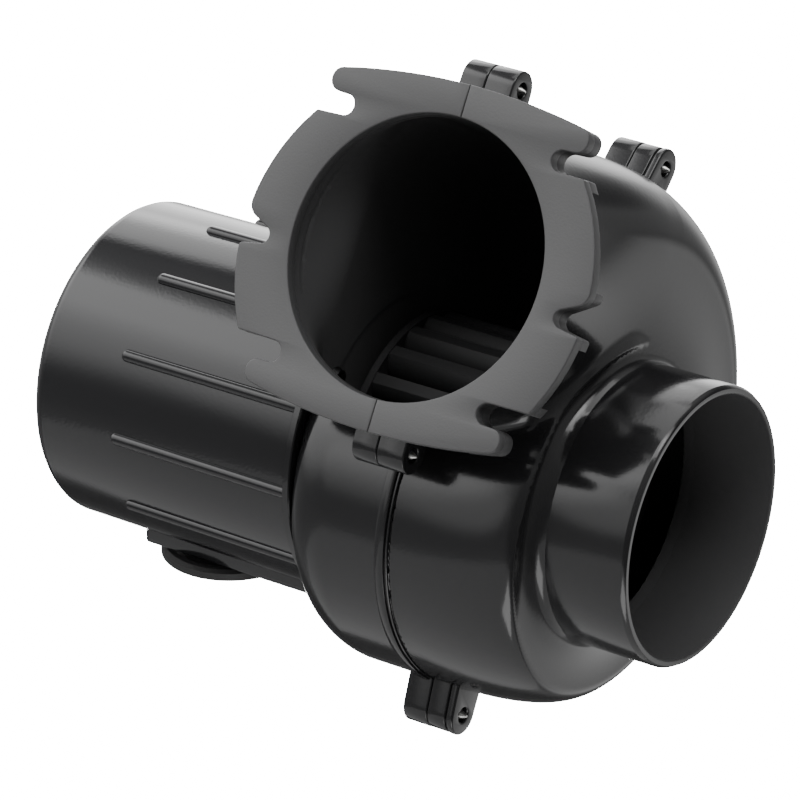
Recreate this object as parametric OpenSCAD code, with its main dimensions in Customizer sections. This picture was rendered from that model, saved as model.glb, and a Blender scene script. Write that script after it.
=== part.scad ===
// A 12 V centrifugal blower: a scroll housing in two halves with a flanged round outlet and a hose
// spigot, a squirrel-cage wheel, and a brushed motor under a ribbed cover.
// X runs along the shaft towards the spigot, -Y is the way the outlet blows and Z is up.
// The origin is the centre of the outlet bore on the mounting face. Lengths are in millimetres.

/* [Outlet flange] */
// Bore of the outlet
outlet_d = 74.6; // [71:0.2:77]
// Thickness of the flange plate
flange_t = 3.4; // [2.6:0.1:5]
// Height of the flange above and below the bore's centre
flange_rise = 46; // [44:0.2:50]
// Radius of the flange's two sides
flange_side_r = 52.4; // [51:0.2:54]
// Radius of the flange's bowed top and bottom edges
flange_bow_r = 190; // [120:1:300]
// Half the width of the flange across its corner fingers
finger_x = 39.2; // [38.4:0.1:41]
// Radius of the fingers' round ends
finger_r = 3.2; // [2:0.1:3.3]
// Distance of the two side arcs' centre below the bore's centre
side_drop = 2.9; // [0:0.1:4]
// Distance between the four corner bolt slots, both ways
slot_pitch = 66.2; // [65:0.2:68]
// Width of the corner bolt slots
slot_w = 5.6; // [5:0.1:6]
// Distance between the centres of the two side slots' round ends
side_slot_pitch = 92.4; // [91:0.2:94]
// Width of the side slots at their round ends
side_slot_w = 4.8; // [3.6:0.1:5.4]
// Height of the side slots below the bore's centre
side_slot_drop = 4.9; // [0:0.1:8]
// Depth of the thickened rims round the slots
slot_rim_depth = 7.6; // [5.6:0.1:9]
// Width of the thickened rims round the slots
slot_rim_w = 2.6; // [2:0.1:3]

/* [Scroll housing] */
// Distance from the mounting face to the shaft
shaft_y = 68.6; // [66:0.2:76]
// Distance of the shaft below the outlet's centre
shaft_drop = 45.3; // [42:0.1:47]
// Wall of the housing
wall = 2.5; // [2:0.1:3.2]
// Gap between the wheel and the tongue of the scroll
tongue_gap = 5.4; // [4:0.1:8]
// Growth of the scroll's radius over one full turn
scroll_growth = 55.3; // [50:0.1:60]
// Place of the seam between the halves, from the outlet's centre
seam_x = 1.4; // [0:0.1:3]
// Depth of the front half from the seam to the end of its shoulder
front_depth = 35.7; // [34:0.1:40]
// Length of the front half's rounded shoulder
front_shoulder = 30.6; // [20:0.1:32]
// Further rise of the front face up to the spigot
front_dish = 3.2; // [1:0.1:6]
// Depth of the rear half from the seam to its flat back
rear_depth = 34.3; // [33:0.1:40]
// Length of the rear half's rounded shoulder
rear_shoulder = 13; // [8:0.1:20]
// Height of the raised lip beside the seam
lip_rise = 0.8; // [0.4:0.1:1.2]
// Width of the raised lip beside the seam
lip_w = 3.9; // [2:0.1:5]
// Radius of the raised pad inside the back, behind the wheel
pad_r = 46.5; // [44:0.5:48]
// Height of the raised pad
pad_h = 3.4; // [3:0.1:4]

/* [Inlet spigot] */
// Outside diameter of the spigot, which takes a hose of the same bore
port_d = 76; // [73:0.5:78]
// Length of the spigot past the housing's face
port_len = 25.3; // [20:0.1:40]
// Wall of the spigot
port_wall = 2.3; // [1.8:0.1:3]
// Chamfer round the spigot's mouth
port_chamfer = 1.4; // [0.8:0.1:1.6]
// Radius of the fillet at the spigot's foot
port_fillet = 3; // [1:0.5:4]

/* [Outlet duct] */
// Height of the duct's floor above the shaft
duct_floor = 6; // [5:0.1:8]

/* [Housing screws] */
// Diameter of the screws that join the halves
screw_d = 4; // [3:0.1:4.4]
// Radial clearance round each screw
screw_gap = 0.1; // [0.05:0.05:0.2]
// Diameter of the screw heads
screw_head_d = 7; // [6.4:0.1:7.6]
// Height of the screw heads, which lie in pockets in the rear ears
screw_head_h = 2.6; // [2:0.1:3]
// Length of the screws' points
screw_point = 3.4; // [2:0.1:4]
// Reach of the points past the front ears
screw_reach = 1; // [0:0.1:2]
// Width of the scroll's screw ears
ear_d = 11.2; // [10.4:0.1:12]
// Width of the flange's screw ears
flange_ear_d = 10.2; // [9.8:0.1:11]
// Distance of the top ear's screw outside the scroll
top_ear_out = 10.2; // [8:0.1:11.4]
// Distance of the bottom ear's screw outside the scroll
bottom_ear_out = 6.8; // [6:0.1:9]
// Distance of the back ear's screw outside the scroll
back_ear_out = 6.8; // [6:0.1:9]
// Length of the ears in front of the seam
ear_front = 8.2; // [7:0.1:10]
// Length of the ears behind the seam
ear_rear = 7.6; // [6.4:0.1:10]
// Distance of the flange ears' screws above and below the bore's centre
flange_ear_z = 48.5; // [47.5:0.1:51]
// Distance of the flange ears' screws behind the mounting face
flange_ear_y = 12; // [11.4:0.1:13]

/* [Motor cover] */
// Outside diameter of the cover at its mouth
cover_d = 90.2; // [88:0.2:94]
// Narrowing of the cover's diameter towards its closed end
cover_taper = 1.2; // [0.4:0.1:3]
// Length of the cover
cover_len = 92.6; // [88:0.2:110]
// Wall of the cover
cover_wall = 2.2; // [1.8:0.1:2.8]
// Length of the rounded edge of the closed end
dome_len = 9; // [6:0.5:12]
// Width of the rounded edge of the closed end
dome_w = 26; // [16:0.5:28]
// Number of rib places round the cover, of which the rail takes three
rib_places = 12; // [12:12]
// Length of the ribs
rib_len = 57.6; // [40:0.1:64]
// Width of the ribs
rib_w = 3.6; // [2.4:0.1:4.4]
// Thickness of the collar at the mouth
collar_t = 2.3; // [1.5:0.1:3.5]
// Rise of the collar over the cover
collar_rise = 1.5; // [1:0.1:2]
// Width of the rail under the cover
rail_w = 31; // [26:0.5:34]
// Length of the rail
rail_len = 72.2; // [60:0.1:74]
// Distance of the rail's face from the shaft
rail_reach = 47.2; // [46.4:0.1:49]
// Diameter of the foot
foot_d = 38.8; // [34:0.2:42]
// Height of the foot
foot_h = 3.6; // [3.4:0.1:7]
// Distance of the foot behind the cover's mouth
foot_back = 53.5; // [44:0.5:56]
// Length of the cover's screws
cover_screw_len = 14; // [12:0.5:20]
// Diameter of the cover's screw bosses
cover_boss_d = 7; // [6.4:0.1:7.4]
// Depth of the ring on the housing's back that centres the cover
locating_len = 3; // [2:0.1:4]
// Wall of the locating ring
locating_wall = 1.6; // [1:0.1:2]
// Bore of the grommet
grommet_bore = 6; // [4:0.5:7]
// Diameter of the hole that holds the grommet
grommet_d = 10; // [9:0.5:11]
// Width of the grommet's two lips
grommet_lip = 1.5; // [1:0.1:2]

/* [Wheel] */
// Outside diameter of the wheel
wheel_d = 73; // [70:0.5:75]
// Width of the wheel over its disc and ring
wheel_w = 53; // [48:0.5:54]
// Number of blades
blade_count = 24; // [20:1:28]
// Thickness of the blades
blade_t = 1.4; // [1.2:0.1:1.8]
// Depth of the blades from the rim inwards
blade_depth = 7; // [5:0.5:9]
// Gap between the wheel's disc and the pad
wheel_gap = 3; // [2.5:0.1:4]
// Thickness of the wheel's disc
disc_t = 2; // [1.6:0.1:3]
// Length of the wheel's end ring
ring_w = 3; // [2:0.1:4]
// Diameter of the wheel's boss
boss_d = 20; // [18:0.5:24]
// Length of the wheel's boss
boss_len = 16; // [12:0.5:20]
// Height of the cone at the foot of the boss
boss_cone = 3; // [1:0.5:5]
// Diameter of the brass hub in the boss
hub_d = 12; // [11:0.2:14]
// Diameter of the hub's grub screw
grub_d = 4; // [3:0.1:4.4]

/* [Motor] */
// Outside diameter of the motor's can
can_d = 62; // [58:0.5:66]
// Wall of the can
can_wall = 1.6; // [1.2:0.1:2]
// Diameter of the motor shaft
shaft_d = 6; // [5:0.1:7]
// Radial clearance of the shaft in its bushes
bush_gap = 0.03; // [0.02:0.01:0.06]
// Outside diameter of the bushes
bush_d = 12; // [11:0.2:13]
// Length of the bushes
bush_len = 6; // [5:0.5:7]
// Thickness of the motor's front plate
plate_t = 4; // [3:0.1:5]
// Length of the front plate's rim inside the can
plate_rim = 2.4; // [1.6:0.1:2.8]
// Diameter of the nose that centres the motor in the housing's back
nose_d = 20; // [18:0.5:24]
// Length of the nose
nose_len = 4.6; // [3.5:0.1:5]
// Thickness of the field magnets
magnet_t = 5; // [4:0.1:6]
// Reach of the field magnets past each end of the core
magnet_over = 3; // [0:0.5:3.5]
// Gap between the magnets and the armature
air_gap = 0.7; // [0.5:0.05:1]
// Length of the armature's laminated core
core_len = 34; // [26:0.5:36]
// Number of slots in the core
core_slots = 12; // [8:1:14]
// Length of the windings past each end of the core
end_turns = 6; // [6:0.1:8]
// Radius of the winding in each slot
winding_r = 2.8; // [2:0.1:2.8]
// Diameter of the commutator
comm_d = 18; // [16:0.2:20]
// Length of the commutator
comm_len = 9; // [8:0.1:10]
// Length of the commutator's riser
riser_len = 1.4; // [1:0.1:2]
// Thickness of the thrust washers
washer_t = 1.2; // [0.8:0.1:1.5]
// Thickness of the brush card
card_t = 1.6; // [1.2:0.1:2.4]
// Width of the brushes
brush_w = 6; // [5:0.1:7]
// Length of the brushes
brush_len = 8; // [6:0.1:9]
// Length of the brush holders
holder_len = 13; // [11.6:0.1:14]
// Wall of the brush holders
holder_wall = 0.8; // [0.6:0.1:1]
// Thickness of the brush springs' wire
spring_wire = 0.7; // [0.4:0.1:0.8]
// Number of turns of the brush springs
spring_turns = 4; // [3:1:6]
// Width of the terminal tabs
tab_w = 6.3; // [4.8:0.1:6.3]
// Thickness of the terminal tabs
tab_t = 0.8; // [0.5:0.1:1]
// Length of the terminal tabs outside the can
tab_len = 8; // [6:0.5:10]
// Diameter of the small screws that hold the motor and the cover
small_screw_d = 3; // [2.5:0.1:3.2]
// Diameter of the small screws' heads
small_head_d = 5.6; // [5:0.1:6]
// Height of the small screws' heads
small_head_h = 1.8; // [1.4:0.1:2.2]
// Distance of the motor's screws from the shaft
motor_screw_r = 21; // [19:0.5:24]

/* [Fits] */
// Radial clearance where one part locates in another
fit_gap = 0.3; // [0.2:0.05:0.4]

/* [Hidden] */

$fn = 64;
eps = 0.01;
over = 1;
outlet_r = outlet_d / 2;
port_r = port_d / 2;
wheel_r = wheel_d / 2;
shaft_r = shaft_d / 2;
can_r = can_d / 2;

// The scroll: its outer radius grows evenly from the tongue round to the top of the outlet.
tongue_a = 176;
top_a = 450;
step_a = 7;
tongue_r = wheel_r + tongue_gap + wall;
throat_len = flange_t + 2;
throat_gap = 0.6;
slab_t = 0.5;
shoulder_steps = 7;
dish_steps = 3;
front_share = 0.4;
rear_share = 0.5;
disc_fn = 64;
join_step = 0.15;
join_scale = 0.996;
rim_step = 0.2;
slot_flare = 1.5;
waist_corner_r = 1;
side_flares = [20, 8];
side_corners = [2.5, 1];

// Places along the shaft.
back_x = seam_x - rear_depth;
inside_back_x = back_x + wall;
pad_x = inside_back_x + pad_h;
face_x = seam_x + front_depth + front_dish;
mouth_x = face_x + port_len;
wheel_x = pad_x + wheel_gap;
ring_x = wheel_x + wheel_w - ring_w;

// Where the rear duct, kept clear of the cover, begins to widen, and its share of the way to the scroll.
widen_y = shaft_y - cover_d / 2 - collar_rise - 0.5;
widen_share = (widen_y - flange_t) / (shaft_y + slab_t - flange_t);

// The scroll's ears by their angle round the shaft and their distance outside the scroll.
scroll_ears = [[72, top_ear_out], [276.5, bottom_ear_out], [350, back_ear_out]];
head_pocket = screw_head_h + 0.6;
ear_root = 0.64 * wall;

// The cover's and the motor's screws, and the grommet, which stays on the flat part of the closed end.
cover_screw_angles = [45, 165, 285];
cover_screw_r = cover_d / 2 - cover_wall - cover_boss_d / 2 + 0.9;
motor_screw_angles = [30, 150, 270];
grommet_r = grommet_d / 2;
grommet_off = cover_d / 2 - cover_taper - dome_w - cover_wall - grommet_r - grommet_lip;
foot_lip = 0.8;

// The motor, from its front plate backwards.
comm_gap = 1;
end_gap = 0.6;
stack = can_wall + bush_len + 2 * fit_gap + washer_t + comm_len + comm_gap;
can_len = stack + 2 * end_turns + core_len + end_gap;
plate_x = back_x - plate_t;
can_x = plate_x - can_len;
nose_r = nose_d / 2;
washer_d = shaft_d + 5;
rear_washer_x = can_x + can_wall + bush_len + fit_gap;
comm_x = rear_washer_x + washer_t + fit_gap;
core_x = comm_x + comm_len + comm_gap + end_turns;
core_r = can_r - can_wall - magnet_t - air_gap;
slot_floor = core_r / 2;
slot_r = winding_r + 0.2;
magnet_len = core_len + 2 * magnet_over;
card_x = comm_x + comm_len / 2 - brush_w / 2 - card_t;
holder_start = 2.5;
tab_off = 0.55 * can_r;
tab_slot_w = tab_w + 0.7;
shaft_back_x = can_x + can_wall + 1;
shaft_front_x = wheel_x + boss_len - 1;
shaft_chamfer = 0.6;

// The rail's and the foot's direction round the shaft, and the ribs that leave room for them.
foot_a = 300;
rib_step = 360 / rib_places;

function scroll_r(a) = tongue_r + scroll_growth * max(0, a - tongue_a) / 360;

// One side of the scroll's section from the seam to the axis, as [radius, height over the seam].
function section(r, depth, shoulder, share, dish, skin) =
  let (w = share * max(r - port_r, 1))
  concat(
    [[r - skin, -over]],
    [for (i = [0 : shoulder_steps])
      let (t = 90 * i / shoulder_steps)
      [r - skin - w * (1 - cos(t)), depth - shoulder + (shoulder - skin) * sin(t)]],
    [for (i = [1 : dish_steps])
      let (s = i / dish_steps)
      [(r - skin - w) * (1 - s) + (port_r - skin) * s, depth - skin + dish * s * s]]
  );

// The stations round the scroll, as [angle, outer radius]. The last ones pass under the outlet duct.
stations = concat(
  [for (i = [0 : ceil((top_a - tongue_a) / step_a)])
    let (a = min(top_a, tongue_a + i * step_a))
    [a, scroll_r(a)]],
  [for (i = [0 : 9]) [top_a + 2 + i * 9.2, tongue_r]]
);

function at_angle(p, a) = [p[0] * cos(a), p[0] * sin(a), p[1]];

// Lays local x, y and z along Y, Z and X from the shaft, so that local z runs along the shaft.
module on_shaft() {
  translate([0, shaft_y, -shaft_drop])
    rotate([90, 0, 90])
      children();
}

// Lays a drawing on the mounting face: local x is X, local y is Z, and depth into the part is -z.
module on_face(depth = 0) {
  translate([0, depth, 0])
    rotate([90, 0, 0])
      children();
}

// The scroll's outline, grown by the given amount, without the part under the outlet duct. Its points
// lie between the shell's own, so that no edges of the two coincide.
module scroll_2d(grow) {
  polygon(concat(
    [for (a = [tongue_a + step_a / 2 : step_a : top_a])
      [(scroll_r(a) + grow) * cos(a), (scroll_r(a) + grow) * sin(a)]],
    [[0, 0]]
  ));
}

// A solid of one side of the scroll on the seam plane, rising along +z to a point on the axis.
module scroll_solid(depth, shoulder, share, dish, skin) {
  rings = [for (s = stations)
    [for (p = section(s[1], depth, shoulder, share, dish, skin)) at_angle(p, s[0])]];
  n = len(rings);
  m = len(rings[0]);
  pole = n * m;
  points = concat(
    [for (ring = rings) for (p = ring) p],
    [[0, 0, depth + dish - skin]]
  );
  sides = [for (i = [0 : n - 1]) for (j = [0 : m - 2])
    let (k = (i + 1) % n)
    each [
      [i * m + j, i * m + j + 1, k * m + j + 1],
      [i * m + j, k * m + j + 1, k * m + j]
    ]];
  cap = [for (i = [0 : n - 1]) [i * m + m - 1, pole, ((i + 1) % n) * m + m - 1]];
  base = [[for (i = [0 : n - 1]) i * m]];
  polyhedron(points, concat(sides, cap, base));
}

// The outlet duct's section beside the scroll, as [X, Z], inset by its skin.
function duct_outline(side, depth, shoulder, share, dish, skin) =
  let (
    top = section(scroll_r(top_a), depth, shoulder, share, dish, skin + join_step),
    corner = top[len(top) - 1],
    floor_z = duct_floor + skin - shaft_drop
  )
  concat(
    [for (p = top) [seam_x + side * p[1], p[0] - shaft_drop]],
    [[seam_x + side * corner[1], floor_z], [seam_x - side * over, floor_z]]
  );

// The same section where the rear duct begins to widen, its top and floor on the way to the throat.
function widen_outline(outline, throat_r) =
  let (top_z = outline[0][1], floor_z = -outline[len(outline) - 1][1])
  [for (p = outline)
    let (end = p[1] > 0 ? top_z : floor_z)
    [p[0], p[1] * (widen_share + (1 - widen_share) * throat_r / end)]];

module duct_slab(y, outline) {
  on_face(y)
    linear_extrude(slab_t)
      polygon(outline);
}

module throat_slab(side, r, from_y, to_y) {
  on_face(to_y)
    linear_extrude(to_y - from_y)
      intersection() {
        circle(r = r, $fn = disc_fn);
        half_plane(side, over);
      }
}

// The front duct runs straight from the scroll's top section to the round throat in the flange.
module front_duct(skin) {
  outline = duct_outline(1, front_depth, front_shoulder, front_share, front_dish, skin);
  throat_y = skin > 0 ? throat_len + slab_t : flange_t;
  hull() {
    duct_slab(shaft_y + 2 * slab_t, outline);
    throat_slab(1, outlet_r + (skin > 0 ? throat_gap : wall), throat_y - slab_t, throat_y);
  }
}

// The rear duct keeps the back's depth beside the cover, and then widens to the throat.
module rear_duct(skin) {
  outline = duct_outline(-1, rear_depth, rear_shoulder - 2 * join_step, rear_share, 0, skin);
  throat_r = outlet_r + (skin > 0 ? throat_gap : wall);
  from_y = skin > 0 ? throat_len : flange_t - slab_t;
  to_y = throat_len + (skin > 0 ? slab_t : 3 * slab_t);
  hull() {
    duct_slab(shaft_y + 2 * slab_t, outline);
    duct_slab(widen_y, widen_outline(outline, throat_r));
  }
  hull() {
    scale([join_scale, 1, join_scale])
      duct_slab(widen_y + slab_t, widen_outline(outline, throat_r));
    throat_slab(-1, throat_r, from_y, to_y);
  }
}

// All that lies on one side of the seam, in the flange's drawing plane, run over it by the given amount.
module half_plane(side, run_over = 0) {
  reach = 2 * flange_side_r;
  edge = seam_x - side * run_over;
  translate([side > 0 ? edge : edge - reach, -reach])
    square([reach, 2 * reach]);
}

// The outside of one side of the housing, and with skin = wall the space inside it. Both run a little
// over the seam, so that one cut makes the seam's face.
module front_form(skin) {
  on_shaft()
    translate([0, 0, seam_x])
      scroll_solid(front_depth, front_shoulder, front_share, front_dish, skin);
  front_duct(skin);
}

module rear_form(skin) {
  on_shaft()
    translate([0, 0, seam_x])
      mirror([0, 0, 1])
        scroll_solid(rear_depth, rear_shoulder, rear_share, 0, skin);
  rear_duct(skin);
}

// All that lies on one side of the seam.
module half_space(side) {
  reach = 8 * flange_side_r;
  translate([side > 0 ? seam_x : seam_x - reach, -reach / 2, -reach / 2])
    cube(reach);
}

// The shells, each joined at its own size into one faceted piece that the exact bores are cut from.
module front_shell() {
  resize([0, 0, 0])
    intersection() {
      difference() {
        front_form(0);
        front_form(wall);
      }
      half_space(1);
    }
}

module rear_shell() {
  resize([0, 0, 0])
    intersection() {
      difference() {
        rear_form(0);
        rear_form(wall);
      }
      half_space(-1);
    }
}

// The flange's half width at the height z.
function side_x(z) = sqrt(flange_side_r ^ 2 - (z + side_drop) ^ 2);

// One edge of a bolt slot: it flares by an angle, and rounds into the outline at the mouth.
function slot_edge(w, mouth, flare, r) =
  let (
    corner = w / 2 + mouth * tan(flare),
    centre = [mouth - r, corner + r / tan(45 + flare / 2)]
  )
  concat(
    [[0, w / 2]],
    [for (i = [0 : 5])
      let (a = (flare - 90) * (1 - i / 5))
      centre + r * [cos(a), sin(a)]],
    [[flange_side_r / 2, centre[1]]]
  );

// A bolt slot, open to the side: a round inner end, and an upper and a lower edge.
module slot_2d(w, upper, lower) {
  circle(d = w);
  polygon(concat(
    upper,
    [for (i = [len(lower) - 1 : -1 : 0]) [lower[i][0], -lower[i][1]]]
  ));
}

module all_slots() {
  finger_mouth = finger_x - slot_pitch / 2;
  low_z = slot_pitch / 2 - slot_w / 2;
  for (sx = [-1, 1]) {
    for (sz = [-1, 1])
      translate([sx * slot_pitch / 2, sz * slot_pitch / 2])
        scale([sx, sz])
          slot_2d(
            slot_w,
            slot_edge(slot_w, finger_mouth, slot_flare, finger_r),
            slot_edge(slot_w, side_x(sz * low_z) - slot_pitch / 2, slot_flare, waist_corner_r)
          );
    translate([sx * side_slot_pitch / 2, -side_slot_drop])
      scale([sx, 1])
        slot_2d(
          side_slot_w,
          slot_edge(side_slot_w, side_x(side_corners[0] + side_slot_w / 2) - side_slot_pitch / 2,
                    side_flares[0], side_corners[0]),
          slot_edge(side_slot_w, side_x(-2 * side_slot_w) - side_slot_pitch / 2,
                    side_flares[1], side_corners[1])
        );
  }
}

// The right half of the flange's bowed top edge, with the finger's round upper corner.
function bow_points(inset) =
  let (
    rise = flange_rise - inset,
    r = finger_r - inset,
    x = finger_x - finger_r,
    z = rise - flange_bow_r + sqrt((flange_bow_r - r) ^ 2 - x ^ 2),
    lean = asin(x / (flange_bow_r - r))
  )
  concat(
    [for (i = [0 : 11])
      let (a = lean * i / 12)
      [flange_bow_r * sin(a), rise - flange_bow_r + flange_bow_r * cos(a)]],
    [for (i = [0 : 6])
      let (a = (90 - lean) * (1 - i / 6))
      [x + r * cos(a), z + r * sin(a)]]
  );

// The flange's outline without its slots: two arcs at the sides, two bowed edges and four fingers.
module flange_2d(inset = 0) {
  half = bow_points(inset);
  last = len(half) - 1;
  intersection() {
    translate([0, -side_drop])
      circle(r = flange_side_r - inset, $fn = 120);
    square([3 * flange_side_r, slot_pitch], center = true);
  }
  polygon(concat(
    half,
    [for (i = [last : -1 : 1]) [half[i][0], -half[i][1]]],
    [for (i = [0 : last]) [-half[i][0], -half[i][1]]],
    [for (i = [last : -1 : 1]) [-half[i][0], half[i][1]]]
  ));
}

// The thickened rims behind the flange: the whole of each corner finger, and a U round each side slot.
module slot_rims_2d() {
  r = slot_w / 2 + slot_rim_w;
  side_r = side_slot_w / 2 + slot_rim_w;
  reach = flange_side_r / 2;
  for (sx = [-1, 1]) {
    for (sz = [-1, 1])
      translate([sx * slot_pitch / 2, sz * slot_pitch / 2])
        scale([sx, sz])
          polygon(concat(
            [for (a = [180 : 15 : 270]) [r * cos(a), r * sin(a)]],
            [[reach, -r], [reach, reach], [-r, reach]]
          ));
    translate([sx * side_slot_pitch / 2, -side_slot_drop])
      scale([sx, 1])
        polygon(concat(
          [for (a = [90 : 15 : 270]) [side_r * cos(a), side_r * sin(a)]],
          [[reach, -side_r - reach * tan(side_flares[1])], [reach, side_r + reach * tan(side_flares[0])]]
        ));
  }
}

module flange_half(side) {
  on_face(flange_t)
    linear_extrude(flange_t)
      intersection() {
        flange_2d();
        half_plane(side);
      }
  on_face(slot_rim_depth)
    linear_extrude(slot_rim_depth - eps)
      intersection() {
        slot_rims_2d();
        flange_2d(rim_step);
        half_plane(side);
      }
}

module slot_cuts(side) {
  on_face(slot_rim_depth + over)
    linear_extrude(slot_rim_depth + 2 * over)
      intersection() {
        all_slots();
        half_plane(side);
      }
}

module throat_cut() {
  on_face(throat_len + 0.3)
    cylinder(r = outlet_r, h = throat_len + 0.3 + over, $fn = 120);
}

function ear_r(ear) = scroll_r(ear[0] < tongue_a ? ear[0] + 360 : ear[0]) + ear[1];

// The ears' screws as [Y, Z] from the shaft, the flange's two last.
ear_places = concat(
  [for (ear = scroll_ears) [ear_r(ear) * cos(ear[0]), ear_r(ear) * sin(ear[0])]],
  [for (s = [-1, 1]) [flange_ear_y - shaft_y, shaft_drop + s * flange_ear_z]]
);

// An ear round its screw: a round end, and straight sides that run back to its root.
module ear_2d(d, root) {
  polygon(concat(
    [for (a = [-90 : 7.5 : 90]) [d / 2 * cos(a), d / 2 * sin(a)]],
    [[-root, d / 2], [-root, -d / 2]]
  ));
}

// The ears on one side of the seam.
module ears(from_x, to_x) {
  flange_root = flange_ear_z - outlet_r - throat_gap - 0.3;
  on_shaft()
    translate([0, 0, from_x])
      linear_extrude(to_x - from_x) {
        for (ear = scroll_ears)
          rotate(ear[0])
            translate([ear_r(ear), 0])
              ear_2d(ear_d, ear[1] + ear_root);
        for (s = [-1, 1])
          translate([flange_ear_y - shaft_y, shaft_drop + s * flange_ear_z])
            rotate(s * 90)
              ear_2d(flange_ear_d, flange_root);
      }
}

module ear_holes(from_x, to_x, d) {
  on_shaft()
    translate([0, 0, from_x])
      for (p = ear_places)
        translate(p)
          cylinder(d = d, h = to_x - from_x, $fn = 32);
}

module housing_front() {
  color("#1b1b1d")
    difference() {
      union() {
        front_shell();
        flange_half(1);
        ears(seam_x, seam_x + ear_front);
        on_shaft() {
          translate([0, 0, face_x - wall])
            cylinder(r = port_r, h = port_len + wall - port_chamfer, $fn = 120);
          translate([0, 0, mouth_x - port_chamfer])
            cylinder(r1 = port_r, r2 = port_r - port_chamfer / 2, h = port_chamfer, $fn = 120);
          translate([0, 0, face_x - 0.4])
            rotate_extrude($fn = 120)
              difference() {
                translate([port_r - 1, 0])
                  square([port_fillet + 1, port_fillet]);
                translate([port_r + port_fillet, port_fillet])
                  circle(r = port_fillet);
              }
        }
      }
      throat_cut();
      slot_cuts(1);
      on_shaft()
        translate([0, 0, face_x - 2 * front_dish - wall])
          cylinder(r = port_r - port_wall, h = port_len + 2 * front_dish + wall + over, $fn = 120);
      ear_holes(seam_x - over, seam_x + ear_front + over, screw_d + 2 * screw_gap);
    }
}

// Holes in the back for the motor's nose and for the screws of the motor and the cover.
module back_holes() {
  on_shaft() {
    translate([0, 0, back_x - over])
      cylinder(r = nose_r + fit_gap, h = wall + pad_h + 2 * over);
    for (a = motor_screw_angles)
      rotate(a)
        translate([motor_screw_r, 0, back_x])
          screw_hole();
    for (a = cover_screw_angles)
      rotate(a)
        translate([cover_screw_r, 0, back_x])
          screw_hole();
  }
}

// A stepped hole: the shank passes the wall, and the head lies in a pocket in the pad.
module screw_hole() {
  translate([0, 0, -over])
    cylinder(d = small_screw_d + 2 * screw_gap, h = wall + pad_h + 2 * over, $fn = 32);
  translate([0, 0, wall])
    cylinder(d = small_head_d + 2 * fit_gap, h = pad_h + over, $fn = 32);
}

module housing_rear() {
  locating_r = cover_d / 2 - cover_wall - fit_gap;
  color("#1b1b1d")
    difference() {
      union() {
        rear_shell();
        flange_half(-1);
        ears(seam_x - ear_rear, seam_x);
        on_shaft() {
          translate([0, 0, seam_x - lip_w])
            linear_extrude(lip_w)
              difference() {
                scroll_2d(lip_rise);
                scroll_2d(-wall / 2);
              }
          translate([0, 0, inside_back_x - eps])
            difference() {
              cylinder(r = pad_r, h = pad_h + eps, $fn = 120);
              translate([0, 0, -over])
                cylinder(r = nose_r + fit_gap, h = pad_h + 2 * over);
            }
          translate([0, 0, back_x - locating_len])
            difference() {
              cylinder(r = locating_r, h = locating_len + eps, $fn = 120);
              translate([0, 0, -over])
                cylinder(r = locating_r - locating_wall, h = locating_len + 2 * over, $fn = 120);
              for (a = cover_screw_angles)
                rotate(a)
                  translate([cover_screw_r, 0, -over])
                    cylinder(d = cover_boss_d + 2 * fit_gap, h = locating_len + over - eps);
            }
        }
      }
      throat_cut();
      slot_cuts(-1);
      ear_holes(seam_x - ear_rear - over, seam_x + over, screw_d + 2 * screw_gap);
      ear_holes(seam_x - ear_rear - over, seam_x - ear_rear + head_pocket, screw_head_d + 2 * fit_gap);
      back_holes();
    }
}

// A pan-head screw along +z, its head below z = 0 and a pointed end.
module screw(d, len, head_d, head_h, point) {
  difference() {
    translate([0, 0, -head_h])
      cylinder(d1 = head_d * 0.8, d2 = head_d, h = head_h, $fn = 32);
    for (a = [0, 90])
      rotate(a)
        translate([-head_d * 0.3, -head_d * 0.07, -head_h - eps])
          cube([head_d * 0.6, head_d * 0.14, head_h * 0.5]);
  }
  translate([0, 0, -eps])
    cylinder(d = d, h = len - point + eps, $fn = 32);
  if (point > 0)
    translate([0, 0, len - point])
      cylinder(d1 = d, d2 = 0.6, h = point, $fn = 32);
}

module housing_screws() {
  length = ear_rear - head_pocket + ear_front + screw_reach;
  color("silver")
    on_shaft()
      translate([0, 0, seam_x - ear_rear + head_pocket])
        for (p = ear_places)
          translate(p)
            screw(screw_d, length, screw_head_d, screw_head_h, screw_point);
}

function cover_r(x) = (cover_d - cover_taper * (x / cover_len)) / 2;

// The cover's outline as [radius, distance from the mouth], inset by its wall for the inside.
function cover_outline(inset) =
  let (
    end = cover_len - inset,
    mouth = inset > 0 ? -over : 0,
    r = cover_r(cover_len - dome_len) - inset,
    steps = 10
  )
  concat(
    [[cover_r(0) - inset, mouth]],
    [for (i = [0 : steps])
      let (t = 90 * i / steps)
      [r - dome_w * (1 - cos(t)), cover_len - dome_len + (dome_len - inset) * sin(t)]],
    [[0, end], [0, mouth]]
  );

module rounded_bar_2d(length, width, r) {
  translate([r, -width / 2])
    square([length - r, width]);
  translate([0, -width / 2 + r])
    square([length, width - 2 * r]);
  for (s = [-1, 1])
    translate([r, s * (width / 2 - r)])
      circle(r = r);
}

// Everything on the cover is drawn from its mouth backwards, along local +z.
module from_mouth() {
  on_shaft()
    translate([0, 0, back_x])
      rotate([180, 0, 0])
        children();
}

module rail() {
  rail_base = cover_d / 2 - 6;
  rotate([0, 0, -foot_a])
    translate([rail_base, 0, rail_len])
      rotate([0, 90, 0])
        linear_extrude(rail_reach - rail_base)
          rounded_bar_2d(rail_len, rail_w, 4);
}

module rib(length) {
  tip = rib_w / 2;
  translate([0, 0, collar_t / 2])
    cylinder(d = rib_w, h = length + collar_t / 2 - tip, $fn = 32);
  translate([0, 0, collar_t + length - tip])
    cylinder(d1 = rib_w, d2 = rib_w * 0.3, h = tip, $fn = 32);
}

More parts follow.
